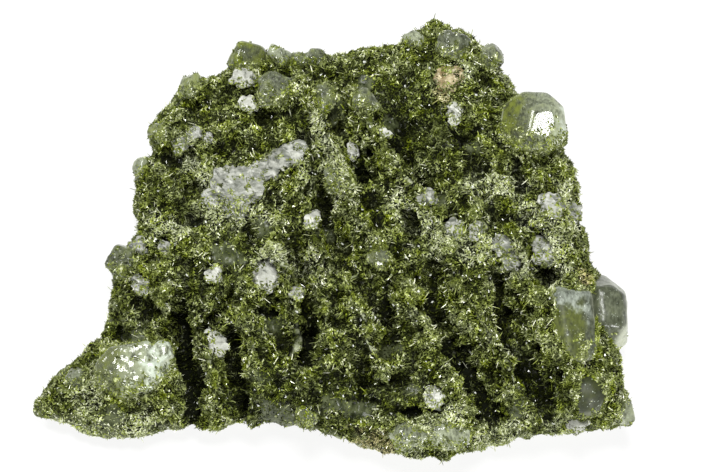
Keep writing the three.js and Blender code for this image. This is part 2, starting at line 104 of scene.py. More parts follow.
# Width of a tuft whose needles lean the same way
TUFT_SIZE = 1.4 * MM
# Seed of the leaning broken faces, and the factor that sets neighbours apart
FACE_SEED = 3
FACE_SPREAD = 7919

# Look of a clear crystal. Haze, moss, light, uneven, gloss and rim say how
# cloudy, how green, how bright, how bumpy and how shiny it is, and how strongly
# its steep sides are painted pale, a painted highlight of the light that comes
# through and round them. Broken and flakes say how steeply its broken faces and the
# small faces on them lean. Cover and patchy are the shares of its near side and
# of its whole skin that grains hide. Facet is the width of its broken faces,
# soft that of its rounded edges and climb the height that grains reach all
# round it, in metres
COMMON_LOOK = {
    "haze": 0.75, "moss": 0.4, "light": 0.55, "uneven": 0.6, "gloss": 0.6, "rim": 0.35,
    "broken": 0.45, "flakes": 0.1, "cover": 0.3, "patchy": 0.5,
    "facet": 1.6 * MM, "soft": 0.6 * MM, "climb": 1.2 * MM,
}
CLEAR_LOOKS = {
    "quartz_upper_right": {
        "haze": 0.6, "uneven": 0.05, "gloss": 0.75, "rim": 1, "broken": 0, "flakes": 0,
        "cover": 0.26, "patchy": 0, "soft": 1.0 * MM, "climb": 1.4 * MM},
    "quartz_right_pair": {
        "haze": 0.85, "uneven": 0.4, "rim": 0.6, "broken": 0.12, "flakes": 0,
        "cover": 0.16, "patchy": 0.15, "soft": 1.4 * MM, "climb": 0.4 * MM},
    "quartz_lower_left": {
        "haze": 0.5, "uneven": 0, "gloss": 0.9, "rim": 0.5, "broken": 0.2, "cover": 0.26,
        "patchy": 0.4, "facet": 2.3 * MM, "soft": 0.8 * MM, "climb": 1.8 * MM},
    "quartz_lower_right": {
        "haze": 0.95, "moss": 0.6, "light": 0.12, "uneven": 0.3, "gloss": 0.1, "rim": 0.1,
        "broken": 0.1, "flakes": 0, "cover": 0, "patchy": 0.15, "soft": 1.2 * MM,
        "climb": 0.1 * MM},
    "quartz_corner_nub": {
        "haze": 0.6, "moss": 0.2, "light": 1.2, "rim": 1, "broken": 0.2, "cover": 0,
        "patchy": 0.2},
    "quartz_left_nub": {"moss": 0.2, "light": 0.85, "rim": 0.3, "broken": 0.2},
    "quartz_left_brow": {"moss": 0.6, "light": 0.8, "rim": 0.5, "broken": 0.2},
    "quartz_left_shoulder": {"moss": 0.5, "light": 1, "rim": 0.6, "broken": 0.2},
    "quartz_left_lobe": {"light": 0.45, "rim": 0.6, "broken": 0.3},
    "quartz_right_shoulder": {"light": 0.7, "rim": 0.5, "broken": 0.3},
    "quartz_front": {"moss": 0.1, "light": 0.9, "gloss": 0.8, "rim": 0.7, "patchy": 0.4},
    "quartz_top_left_dome": {
        "moss": 0.65, "light": 0.65, "rim": 0.6, "broken": 0.05, "soft": 1.8 * MM,
        "patchy": 0.4},
    "quartz_top_left_blue": {"moss": 0, "light": 0.95, "gloss": 1, "broken": 0.2},
    "quartz_top_middle": {"moss": 0, "light": 0.95, "gloss": 1, "patchy": 0.3},
    "quartz_top_right": {"moss": 0.2, "light": 0.4, "gloss": 0.8},
    "quartz_wing": {"moss": 0, "light": 0.5, "gloss": 1, "soft": 0.3 * MM},
}
# Look of a milky chip: cover, patchy and climb as above, shade, which is its
# share of white, and ragged, the depth of its bays as a share of Ragged Height
MILKY_LOOK = {"shade": 0.4, "ragged": 1.8, "cover": 0.2, "patchy": 0.85, "climb": 1.3 * MM}
MILKY_LOOKS = {
    "milky_vein": {"shade": 0.38, "ragged": 2, "patchy": 0.66, "climb": 0.8 * MM},
    "milky_centre": {"shade": 1.1, "ragged": 2.2, "patchy": 0.5, "climb": 1.1 * MM},
    "milky_top_left": {"shade": 1.1, "patchy": 0.6, "climb": 1.0 * MM},
    "milky_upper_left": {"shade": 0.95, "patchy": 0.6, "climb": 1.1 * MM},
    "milky_upper_left_fleck": {"shade": 0.8},
    "milky_fleck_top": {"shade": 1, "patchy": 0.6},
    "milky_facet_left": {"shade": 0.8, "patchy": 0.6},
    "milky_sliver_lower_left": {"shade": 0.8, "patchy": 0.5},
    "milky_sliver_furrow": {"shade": 1, "patchy": 0.4},
    "milky_upper_right": {"shade": 0.9, "patchy": 0.6},
    "milky_front": {"shade": 0.8},
    "milky_front_edge": {"shade": 1.1, "patchy": 0.4, "climb": 0.6 * MM},
    "milky_fleck_left_of_middle": {"shade": 0.85, "patchy": 0.65, "climb": 1.5 * MM},
}
# Parts of a look that shape the mesh and aren't stored on it
SHAPING_FIELDS = ("broken", "facet", "soft", "ragged")

# Marks on the crust. Each has a half width in millimetres and a route of plan
# points, which are per cent of the plate's length from its left end and per
# cent of its breadth from its near edge. A dark mark is a furrow, cut in and
# darkened, partly as darker crystals and partly as painted shade; a glassy one
# is smooth grey-green quartz, a pale one has whitish grains, a dull one olive
# grains, and a stain is tan
MARKS = {
    "dark": {
        "left": (1.7, (25.5, 30), (26, 22), (28, 14), (27, 7)),
        "left_inner": (0.7, (34, 24), (35, 17), (36, 8)),
        "left_short": (0.7, (29.5, 26), (31.5, 28)),
        "left_pit": (1.4, (39.5, 31),),
        "middle": (1.15, (46.5, 30), (47, 26), (46, 19)),
        "middle_high": (1.4, (49, 54), (48.5, 50)),
        "middle_pit": (0.9, (51, 40),),
        "upper": (1.2, (55, 65), (55.5, 60)),
        "upper_pit": (0.9, (50.5, 71),),
        "upper_right_pit": (0.9, (60, 65),),
        "beside_crest": (0.8, (58.5, 33), (59.5, 28)),
        "near_crest": (0.9, (57, 17), (56, 14)),
        "right_of_middle": (1.1, (66.5, 34), (67.5, 28)),
        "right": (2.0, (69, 22.5), (72, 18.5), (74, 14), (75.5, 8)),
        "right_outer": (1.0, (77.5, 34), (79, 28), (79, 23), (81, 20), (85, 9)),
        "far_left_pit": (0.9, (21.5, 31),),
        "far_right_pit": (0.7, (72, 68),),
        "wing_pit": (0.9, (7, 10),),
        "near_edge_pit": (1.0, (58, 14),),
        "rim_pit": (1.0, (61.5, 8.5), (64, 8)),
        "right_pit": (0.9, (84, 22),),
        "near_right_pit": (1.0, (87, 15),),
    },
    "glassy": {
        "behind_middle": (2.3, (50.5, 75),),
        "behind_right": (1.6, (60, 72),),
        "far_edge": (1.8, (56, 81),),
        "above_furrow": (1.5, (49, 48),),
        "left_of_middle": (2.0, (32.5, 43), (34, 41)),
        "under_vein": (1.6, (39, 48),),
        "left_edge": (2.5, (18, 26),),
        "beside_furrow": (1.8, (40.5, 28),),
        "near_left": (1.8, (39, 15),),
        "wing": (2.2, (14, 9),),
        "near_middle": (1.6, (59.5, 22),),
        "right_of_middle": (1.5, (68, 54),),
        "right": (1.5, (74, 66),),
        "near_right": (1.5, (80, 8),),
        "near_edge_left": (1.5, (40, 9), (43, 8)),
        "near_edge": (1.5, (50, 10), (56, 9)),
        "near_edge_right": (1.5, (64, 13),),
    },
    "dull": {
        "near_edge_left": (3.6, (36, 12), (47, 10)),
        "near_edge": (3.6, (54, 12), (66, 10)),
        "behind_right": (4.2, (59, 76), (64, 71), (71, 69)),
        "near_right": (4.0, (82, 18), (86, 10)),
        "under_left_quartz": (2.5, (29, 38), (33, 36)),
        "beside_vein": (2.2, (27, 50),),
        "behind_left": (2.5, (33, 79), (40, 78)),
    },
    "pale": {
        "crest": (2.4, (47, 71), (50, 64), (52, 57)),
        "crest_left": (1.3, (45, 66), (46, 60)),
        "second_crest": (2.0, (61, 54), (66, 49), (68, 44)),
        "right_field": (2.6, (73, 43), (80, 42), (86, 38)),
        "right_field_high": (2.2, (82, 52), (85, 49), (88, 44)),
        "right_edge": (1.8, (89, 58), (90, 50)),
        "left_high": (2.2, (21, 51), (26, 49)),
        "behind_right_field": (2.4, (74, 57), (80, 57)),
        "below_vein": (2.0, (39, 42), (47, 41)),
        "top": (2.0, (72, 84),),
        "top_edge": (1.8, (80, 85),),
        "over_vein": (1.8, (27, 64), (29, 60)),
        "under_vein": (2.8, (31, 53), (39, 51)),
        "wing_rim": (3.6, (8, 6), (15, 5), (25, 5)),
        "wing_tip": (1.8, (6, 8),),
        "wing": (2.5, (9, 12), (13, 18)),
        "rim_left": (1.8, (29, 5), (33, 5)),
        "rim_middle": (2.0, (45, 7),),
        "rim_right": (2.3, (64, 3), (70, 8)),
        "rim_far_right": (2.2, (75, 3), (81, 4)),
        "corner": (2.3, (87, 5),),
        "beside_seat": (1.8, (87, 34),),
    },
    "stain": {
        "beside_stained_chip": (1.8, (69, 79),),
        "above_pair": (1.3, (92, 38),),
        "rim": (2.0, (54, 3), (59, 2)),
    },
}


def length(name, description, default):
    """A size in metres that a user can change."""
    return FloatProperty(name=name, description=description, default=default,
                         min=0, precision=5, unit="LENGTH")


def share(name, description, default):
    """A number from 0 to 1 that a user can change."""
    return FloatProperty(name=name, description=description, default=default,
                         min=0, max=1, subtype="FACTOR")


def colour(name, description, default):
    """A colour that a user can change."""
    return FloatVectorProperty(name=name, description=description, default=default,
                               min=0, max=1, size=3, subtype="COLOR")


def count(name, description, default):
    """A whole number that a user can change."""
    return IntProperty(name=name, description=description, default=default, min=0)


class RockSettings(bpy.types.PropertyGroup):
    """Relief and colours of the rock under the needles."""

    voxel: length("Voxel", "Size of the cells that the rock is rebuilt from", 0.32 * MM)
    sink: length("Sink", "How far the rock lies below the crust's surface", 0.3 * MM)
    lump_size: length("Lump Size", "Width of the broad lumps", 3.6 * MM)
    lump_height: length("Lump Height", "Height of the broad lumps", 1.3 * MM)
    clump_size: length("Clump Size", "Width of the mossy clumps", 1.7 * MM)
    clump_height: length("Clump Height", "Height of the mossy clumps", 1.1 * MM)
    grain_size: length("Grain Size", "Width of the grains on the clumps", 0.8 * MM)
    grain_height: length("Grain Height", "Height of the grains on the clumps", 0.35 * MM)
    # Hollows and dents are darkened, partly as darker crystals and partly as painted shade
    hollow_depth: length("Hollow Depth", "Depth at which a hollow is darkest", 1.1 * MM)
    dent_depth: length("Dent Depth", "Depth at which a dent is darkest", 0.3 * MM)
    crumb_size: length("Crumb Size", "Width of the finest crumbs", 0.35 * MM)
    crumb_height: length("Crumb Height", "Height of the finest crumbs", 0.15 * MM)
    furrow_depth: length("Furrow Depth", "How far the dark places are cut in", 1.2 * MM)
    mark_bay: length("Mark Bay", "Width of the bays in a mark's outline", 2.2 * MM)
    mark_crumb: length("Mark Crumb", "Width of the crumbs in a mark's outline", 0.7 * MM)
    side_foot: length("Side Foot", "Height at which the sides begin to be rough", 0.3 * MM)
    crust_foot: length("Crust Foot", "Height at which the crust begins", 2 * MM)
    crust_full: length("Crust Full", "Height at which the crust is full", 6 * MM)
    closing: length("Closing", "How far the crust closes round the clear quartz", 0.3 * MM)
    closing_reach: length("Closing Reach", "How far from the clear quartz it closes", 1.2 * MM)
    bare_reach: length("Bare Reach", "How far from the milky quartz needles are few", 0.5 * MM)
    # Dark is also mixed into the hollows as painted shade
    dark: colour("Dark", "Colour of the rock in its hollows", (0.003, 0.004, 0.001))
    green: colour("Green", "Colour of the rock under the needles", (0.07, 0.09, 0.012))
    broken: colour("Broken", "Colour of the broken sides and back", (0.42, 0.45, 0.3))
    glass: colour("Glass", "Colour of the darker quartz between the needles",
                  (0.03, 0.038, 0.014))
    veil: colour("Veil", "Colour of the cloudier quartz between the needles",
                 (0.1, 0.115, 0.055))
    stain: colour("Stain", "Colour of the stains", (0.7, 0.6, 0.32))
    mint: colour("Mint", "Colour of the pale patches", (0.55, 0.59, 0.38))


class NeedleSettings(bpy.types.PropertyGroup):
    """Sizes, numbers and colours of the needles and grains."""

    needle_length: length("Needle Length", "Middle length of a needle", 0.45 * MM)
    needle_width: length("Needle Width", "Middle width of a needle", 0.14 * MM)
    needles: count("Needles per Piece", "Number of needles in a full piece", 24000)
    grain_length: length("Grain Length", "Middle length of a grain", 0.5 * MM)
    grain_width: length("Grain Width", "Middle width of a grain", 0.38 * MM)
    grains: count("Grains per Piece", "Number of grains in a full piece", 38000)
    # Darkest is also mixed into the needles in the hollows as painted shade
    darkest: colour("Darkest", "Colour of the darkest needles", (0.007, 0.009, 0.0005))
    olive: colour("Olive", "Colour of most needles", (0.115, 0.145, 0.016))
    bright: colour("Bright", "Colour of the brighter needles", (0.38, 0.44, 0.095))
    # The palest needles are painted glints, reached only by the highest shades
    pale: colour("Pale", "Colour of the palest needles", (0.9, 0.92, 0.66))


class ClearSettings(bpy.types.PropertyGroup):
    """Shape and glassiness of the clear quartz."""

    voxel: length("Voxel", "Size of the cells that a crystal is rebuilt from", 0.2 * MM)
    grow: length("Growth", "How far a crystal grows out to close its seat", 0.25 * MM)
    tint: colour("Tint", "Colour that thick quartz takes on", (0.5, 0.62, 0.36))
    absorption: FloatProperty(
        name="Absorption", description="How strongly thick quartz is tinted, per metre",
        default=100, min=0)
    ior: FloatProperty(
        name="IOR", description="Refractive index of quartz", default=1.54, min=1)
    pit_size: length("Pit Size", "Width of the uneven places on a crystal", 1.5 * MM)
    pit_height: length("Pit Height", "Height of the uneven places on a crystal", 0.22 * MM)
    mark_height: length("Mark Height", "Height of the growth marks", 0.2 * MM)
    flake_size: length("Flake Size", "Width of the small faces", 0.8 * MM)
    veil: colour("Veil", "Colour of the cloudy veils", (0.3, 0.33, 0.22))
    moss: colour("Moss", "Colour of the green inside a crystal", (0.17, 0.2, 0.035))
    depth: colour("Depth", "Colour of the dark felt seen through a crystal",
                  (0.01, 0.014, 0.004))
    frost: colour("Frost", "Colour of the frosted skin", (0.53, 0.59, 0.49))
    edge: colour("Edge", "Colour of the steep sides, which catch the light",
                 (0.68, 0.72, 0.54))


class MilkySettings(bpy.types.PropertyGroup):
    """Shape and colours of the milky and stained quartz."""

    voxel: length("Voxel", "Size of the cells that a chip is rebuilt from", 0.16 * MM)
    ragged_size: length("Ragged Size", "Width of the bays in a chip's outline", 0.8 * MM)
    ragged_height: length("Ragged Height", "Depth of the bays in a chip's outline", 0.4 * MM)
    grow: length("Growth", "How far a chip grows out to close its seat", 0.25 * MM)
    sink: length("Sink", "How far a chip lies below its place", 0.3 * MM)
    flatness: share("Flatness", "How far a chip is flattened towards the crust", 0.65)
    facet_size: length("Facet Size", "Width of the broken faces", 1.7 * MM)
    facet_slope: share("Facet Slope", "How steeply the broken faces lean", 0.15)
    flake_size: length("Flake Size", "Width of the small faces", 1.3 * MM)
    cloud_depth: length("Cloud Depth", "How far light spreads below the skin", 0.2 * MM)
    shard_width: length("Shard Width", "Middle width of the flat shards", 1.1 * MM)
    shard_height: length("Shard Height", "Middle thickness of the flat shards", 0.35 * MM)
    shard_spacing: length("Shard Spacing", "Distance between the shards", 2.5 * MM)
    flecks: count("Flecks", "Number of small pale crystals all over the crust", 300)
    fleck_size: length("Fleck Size", "Middle size of the small pale crystals", 0.5 * MM)
    white: colour("White", "Colour of the milky quartz", (0.45, 0.46, 0.4))
    grey: colour("Grey", "Colour of the greyer shards", (0.12, 0.13, 0.105))
    tan: colour("Tan", "Colour of the stained quartz", (0.52, 0.45, 0.27))
    brown: colour("Brown", "Colour of the darker stained shards", (0.22, 0.16, 0.07))


class GrowthSettings(bpy.types.PropertyGroup):
    """Grains that grow over the quartz."""

    patch_size: length("Patch Size", "Width of the patches of grains", 1.3 * MM)
    buried: length("Buried Depth", "How far below the rock quartz stays bare", 2 * MM)
    grains: count("Grains", "Number of grains on all the quartz", 28000)


class StageSettings(bpy.types.PropertyGroup):
    """Floor, lights and camera."""

    floor: colour("Floor", "Colour of the floor", (0.2, 0.2, 0.2))
    floor_size: length("Floor Size", "Side of the floor", 6.0)
    glow: share("Glow", "Brightness of the light that comes through the floor", 0.79)
    surround: share("Surround", "Brightness of the light from all sides", 0.25)
    key_power: FloatProperty(
        name="Key Power", description="Power of the softbox above, in watts",
        default=3.1, min=0)
    side_power: FloatProperty(
        name="Side Power", description="Power of the softbox at the far left, in watts",
        default=1.9, min=0)
    front_power: FloatProperty(
        name="Front Power", description="Power of the softbox at the near right, in watts",
        default=3.2, min=0)
    box_size: length("Softbox Size", "Side of each softbox", 0.2)
    box_distance: length("Softbox Distance", "Distance of each softbox", 0.6)
    aim: FloatVectorProperty(
        name="Aim", description="Place that the camera looks at, from the middle of the solids",
        default=(4 * MM, -0.7 * MM, -2.5 * MM), precision=5, subtype="TRANSLATION",
        unit="LENGTH")
    camera_distance: length("Camera Distance", "Distance of the camera", 0.5)
    elevation: FloatProperty(
        name="Elevation", description="Angle of the camera above the floor",
        default=math.radians(75), subtype="ANGLE")
    focal_length: FloatProperty(
        name="Focal Length", description="Focal length of the camera's lens in millimetres",
        default=152.5, min=1)


SETTINGS = {
    "specimen_rock": RockSettings,
    "specimen_needles": NeedleSettings,
    "specimen_clear": ClearSettings,
    "specimen_milky": MilkySettings,
    "specimen_growth": GrowthSettings,
    "specimen_stage": StageSettings,
}


class Wire:
    """An output socket. Sums, differences, products and powers add Math nodes."""

    def __init__(self, graph, socket):
        self.graph = graph
        self.socket = socket

    def _math(self, operation, first, second):
        return self.graph.node(
            "ShaderNodeMath", {"operation": operation}, {0: first, 1: second})

    def __add__(self, other):
        return self._math("ADD", self, other)

    def __radd__(self, other):
        return self._math("ADD", other, self)

    def __sub__(self, other):
        return self._math("SUBTRACT", self, other)

    def __rsub__(self, other):
        return self._math("SUBTRACT", other, self)

    def __mul__(self, other):
        return self._math("MULTIPLY", self, other)

    def __rmul__(self, other):
        return self._math("MULTIPLY", other, self)

    def __pow__(self, other):
        return self._math("POWER", self, other)


class Graph:
    """Adds nodes to a tree and wires them up."""

    def __init__(self, tree):
        self.tree = tree

    def node(self, kind, settings=None, sockets=None, output=0):
        """Adds a node: its settings first, then the values or wires of its sockets."""
        node = self.tree.nodes.new(kind)
        for name, value in (settings or {}).items():
            if name == "stops":
                self._set_stops(node.color_ramp, value)
            else:
                setattr(node, name, value)
        for name, value in (sockets or {}).items():
            if isinstance(value, Wire):
                self.tree.links.new(value.socket, node.inputs[name])
            else:
                node.inputs[name].default_value = value
        return Wire(self, node.outputs[output]) if node.outputs else None

    @staticmethod
    def _set_stops(ramp, stops):
        while len(ramp.elements) < len(stops):
            ramp.elements.new(1)
        for element, (position, tone) in zip(ramp.elements, stops):
            element.position = position
            element.color = (*tone, 1)

    def mix(self, factor, first, second):
        """Colour that goes from the first to the second as the factor rises."""
        sockets = {0: factor, 6: first, 7: second}
        for place in (6, 7):
            if not isinstance(sockets[place], Wire):
                sockets[place] = (*sockets[place], 1)
        return self.node("ShaderNodeMix", {"data_type": "RGBA"}, sockets, output=2)

    def attribute(self, name):
        """Number stored on the mesh."""
        return self.node("ShaderNodeAttribute", {"attribute_name": name}, output=2)

    def steps(self, value, low, high):
        """Smooth step from 0 to 1 as the value goes from low to high."""
        return self.node(
            "ShaderNodeMapRange", {"interpolation_type": "SMOOTHSTEP"},
            {"Value": value, "From Min": low, "From Max": high})

    def place(self):
        """Place on the specimen, in metres."""
        return self.node("ShaderNodeTexCoord", output=3)

    def speckle(self, size, detail=2.0, seed=0.0, stretch=(1, 1, 1)):
        """Noise from 0 to 1 with features of the given size, longer where stretch is small."""
        place = self.node("ShaderNodeVectorMath", {"operation": "MULTIPLY"}, {
            0: self.place(), 1: stretch})
        return self.node(
            "ShaderNodeTexNoise", {"noise_dimensions": "4D"},
            {"Vector": place, "W": seed, "Scale": 1 / size, "Detail": detail})


def new_material(name):
    """Empty material and the graph of its nodes."""
    material = bpy.data.materials.new(name)
    material.use_nodes = True
    material.node_tree.nodes.clear()
    return material, Graph(material.node_tree)


def finish_material(graph, surface, volume=None):
    """Connects the material's output."""
    sockets = {"Surface": surface}
    if volume:
        sockets["Volume"] = volume
    graph.node("ShaderNodeOutputMaterial", None, sockets)


def new_object(name, mesh):
    """Object at the origin that shows the mesh."""
    piece = bpy.data.objects.new(name, mesh)
    bpy.context.scene.collection.objects.link(piece)
    return piece


def merged_copy(node):
    """Closed copy of a CAD node's mesh, with its doubles merged."""
    mesh = frame["nodes"][node].data.copy()
    work = bmesh.new()
    work.from_mesh(mesh)
    bmesh.ops.remove_doubles(work, verts=work.verts, dist=MERGE_DISTANCE)
    work.to_mesh(mesh)
    work.free()
    mesh.materials.clear()
    if "custom_normal" in mesh.attributes:
        mesh.attributes.remove(mesh.attributes["custom_normal"])
    return mesh


def freeze(piece):
    """Turns a piece and its modifiers into a plain mesh."""
    depsgraph = bpy.context.evaluated_depsgraph_get()
    mesh = bpy.data.meshes.new_from_object(
        piece.evaluated_get(depsgraph), preserve_all_data_layers=True, depsgraph=depsgraph)
    piece.modifiers.clear()
    piece.data = mesh
    if not mesh.polygons:
        raise RuntimeError(f"{piece.name} came out empty")


def modified(piece, kind, **settings):
    """Adds a modifier with the given settings."""
    modifier = piece.modifiers.new(kind.title(), kind)
    for name, value in settings.items():
        setattr(modifier, name, value)
    return modifier


def points_of(mesh):
    """Corners of a mesh as an array."""
    points = np.empty(len(mesh.vertices) * 3)
    mesh.vertices.foreach_get("co", points)
    return points.reshape(-1, 3)


def normals_of(mesh):
    """Directions in which a mesh's corners face."""
    normals = np.empty(len(mesh.vertices) * 3)
    mesh.vertices.foreach_get("normal", normals)
    return normals.reshape(-1, 3)


def set_points(mesh, points):
    """Moves the corners of a mesh."""
    mesh.vertices.foreach_set("co", points.ravel())
    mesh.update()


def store(mesh, name, values):
    """Stores a number at each corner of a mesh."""
    attribute = mesh.attributes.new(name, "FLOAT", "POINT")
    attribute.data.foreach_set("value", np.asarray(values, dtype=np.float32))


def values_of(mesh, name):
    """Numbers stored at each corner of a mesh."""
    values = np.empty(len(mesh.vertices))
    mesh.attributes[name].data.foreach_get("value", values)
    return values


def joined_mesh(name, pieces):
    """One mesh with the surfaces of several pieces, without a shade of its own."""
    work = bmesh.new()
    for piece in pieces:
        work.from_mesh(piece.data)
    mesh = bpy.data.meshes.new(name)
    work.to_mesh(mesh)
    work.free()
    if "shade" in mesh.attributes:
        mesh.attributes.remove(mesh.attributes["shade"])
    return mesh


def noise_at(points, size):
    """Noise from -1 to 1 at each point, with features of the given size."""
    return np.array([noise.noise(Vector(point) / size) for point in points])


def evened(mesh, points, rounds):
    """Corners after each has moved to the middle of its neighbours several times."""
    edges = np.empty(len(mesh.edges) * 2, dtype=np.int64)
    mesh.edges.foreach_get("vertices", edges)
    ends = np.concatenate([edges, edges.reshape(-1, 2)[:, ::-1].ravel()]).reshape(-1, 2)
    total = len(points)
    degree = np.bincount(ends[:, 0], minlength=total)[:, None]
    for _ in range(rounds):
        points = np.stack([
            np.bincount(ends[:, 0], points[ends[:, 1], axis], total) for axis in range(3)
        ], axis=1) / degree
    return points


def smoothstep(values, low, high):
    """Rises smoothly from 0 to 1 as the values go from low to high."""
    part = np.clip((np.asarray(values) - low) / (high - low), 0, 1)
    return part * part * (3 - 2 * part)


def corner_areas(mesh):
    """Share of the mesh's area that belongs to each corner."""
    mesh.calc_loop_triangles()
    triangles = np.empty(len(mesh.loop_triangles) * 3, dtype=np.int64)
    mesh.loop_triangles.foreach_get("vertices", triangles)
    areas = np.empty(len(mesh.loop_triangles))
    mesh.loop_triangles.foreach_get("area", areas)
    return np.bincount(triangles, np.repeat(areas / 3, 3), len(mesh.vertices))


def surface_tree(pieces):
    """Search tree over the surfaces of several objects."""
    work = bmesh.new()
    for piece in pieces:
        work.from_mesh(piece.data)
    tree = BVHTree.FromBMesh(work)
    work.free()
    return tree


def solids(nodes):
    """Packed objects of several CAD nodes."""
    return [frame["nodes"][node] for node in nodes]


def distances(tree, points):
    """Distance of each point to the surfaces in the tree."""
    return np.array([tree.find_nearest(Vector(point))[3] for point in points])


def finish_piece(piece, material=None, nodes=()):
    """Gives a piece its material and its body, and hides the CAD nodes that it stands for."""
    if material:
        piece.data.materials.clear()
        piece.data.materials.append(material)
    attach(piece, BODY)
    if nodes:
        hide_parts(*nodes)


def marked(graph, tone, rock, crumbs):
    """Colour with the pale and the stained places of the crust on some crumbs of it."""
    tone = graph.mix(graph.attribute("pale") * crumbs, tone, rock.mint)
    return graph.mix(graph.attribute("stain") * crumbs, tone, rock.stain)


def flake_height(graph, size):
    """Height of small flat faces that lean this way and that, in metres, and a random tone per
    face, which can paint the faces lit and shaded.
    """
    tilt = graph.node("ShaderNodeTexVoronoi", None, {
        "Vector": graph.place(), "Scale": 1 / size}, output=1)
    middle = Wire(graph, tilt.socket.node.outputs["Position"])
    lean = graph.node("ShaderNodeVectorMath", {"operation": "SUBTRACT"}, {
        0: tilt, 1: (0.5, 0.5, 0.5)})
    offset = graph.node("ShaderNodeVectorMath", {"operation": "SUBTRACT"}, {
        0: graph.place(), 1: middle})
    height = graph.node("ShaderNodeVectorMath", {"operation": "DOT_PRODUCT"}, {
        0: lean, 1: offset}, output=1)
    return height, graph.node("ShaderNodeSeparateXYZ", None, {0: tilt})


def rock_material(settings):
    """Dark green felt of grains, with broken rock at the sides."""
    material, graph = new_material("epidote_rock")
    hollow = graph.attribute("hollow")
    crust = graph.attribute("crust")
    fine = graph.speckle(0.3 * MM)
    wide = graph.speckle(6 * MM, seed=3.0)
    green = graph.mix(graph.steps(fine, 0.45, 0.7), settings.dark, settings.green)
    rough = graph.speckle(1.2 * MM, detail=4, seed=6.0)
    broken = graph.mix(graph.steps(wide, 0.45, 0.6), settings.broken, settings.green)
    broken = graph.mix(graph.steps(rough, 0.35, 0.55), settings.green, broken)
    tone = graph.mix(crust, broken, green)
    tone = marked(graph, tone, settings, 0.6 * graph.steps(fine, 0.5, 0.65))
    # Hollows, dents and dark marks turn dark: partly darker rock, partly painted shade
    tone = graph.mix(graph.steps(hollow, 0, 1), tone, settings.dark)
    glassy = graph.attribute("glassy")
    cloud = graph.speckle(1.2 * MM, detail=3, seed=5.0)
    ground = graph.mix(graph.steps(cloud, 0.35, 0.65), settings.glass, settings.veil)
    tone = graph.mix(glassy, tone, ground)
    crumbs = graph.node("ShaderNodeTexVoronoi", None, {
        "Vector": graph.place(), "Scale": 1 / settings.crumb_size})
    bump = graph.node("ShaderNodeBump", None, {
        "Strength": 0.8, "Distance": settings.crumb_height, "Height": crumbs})
    surface = graph.node("ShaderNodeBsdfPrincipled", None, {
        "Base Color": tone, "Roughness": 0.5 + 0.3 * fine, "Specular IOR Level": 0.05,
        "Coat Weight": 0.35 * glassy, "Coat Roughness": 0.2, "Normal": bump})
    finish_material(graph, surface)
    return material


def needle_material(settings, rock):
    """Glassy greens of the needles: each has its own shade, darkened in the hollows by painted
    shade and darker crystals.
    """
    material, graph = new_material("epidote_needles")
    shade = graph.attribute("shade")
    hollow = graph.attribute("hollow")
    drift = graph.speckle(5 * MM, seed=7.0)
    clump = graph.speckle(1.3 * MM, seed=9.0)
    # The shaded hollows lower the level: partly darker crystals, partly painted shade
    level = 0.24 + 0.5 * shade + 1.25 * (clump - 0.5) + 0.5 * (drift - 0.5) - 0.2 * hollow
    level = level + 0.26 * graph.attribute("pale") - 0.27 * graph.attribute("dull")
    # Levels past the bright stop reach the pale one, which paints glints
    tone = graph.node("ShaderNodeValToRGB", {"stops": [
        (0.0, settings.darkest),
        (0.4, settings.olive),
        (0.78, settings.bright),
        (1.0, settings.pale),
    ]}, {"Fac": level})
    vivid = graph.speckle(2.5 * MM, seed=13.0)
    tone = graph.node("ShaderNodeHueSaturation", None, {
        "Saturation": 0.3 + 1.2 * vivid, "Color": tone})
    tone = marked(graph, tone, rock, 0.6 * graph.steps(shade, 0.15, 0.7))
    # Painted shade in the hollows, partly also darker crystals
    tone = graph.mix(graph.steps(hollow, 0.1, 1.0) * 0.75, tone, settings.darkest)
    surface = graph.node("ShaderNodeBsdfPrincipled", None, {
        "Base Color": tone, "Roughness": 0.4, "Specular IOR Level": 0.15,
        "Coat Weight": graph.steps(shade, 0.5, 1.1), "Coat Roughness": 0.12,
        "Coat IOR": 1.6})
    finish_material(graph, surface)
    return material


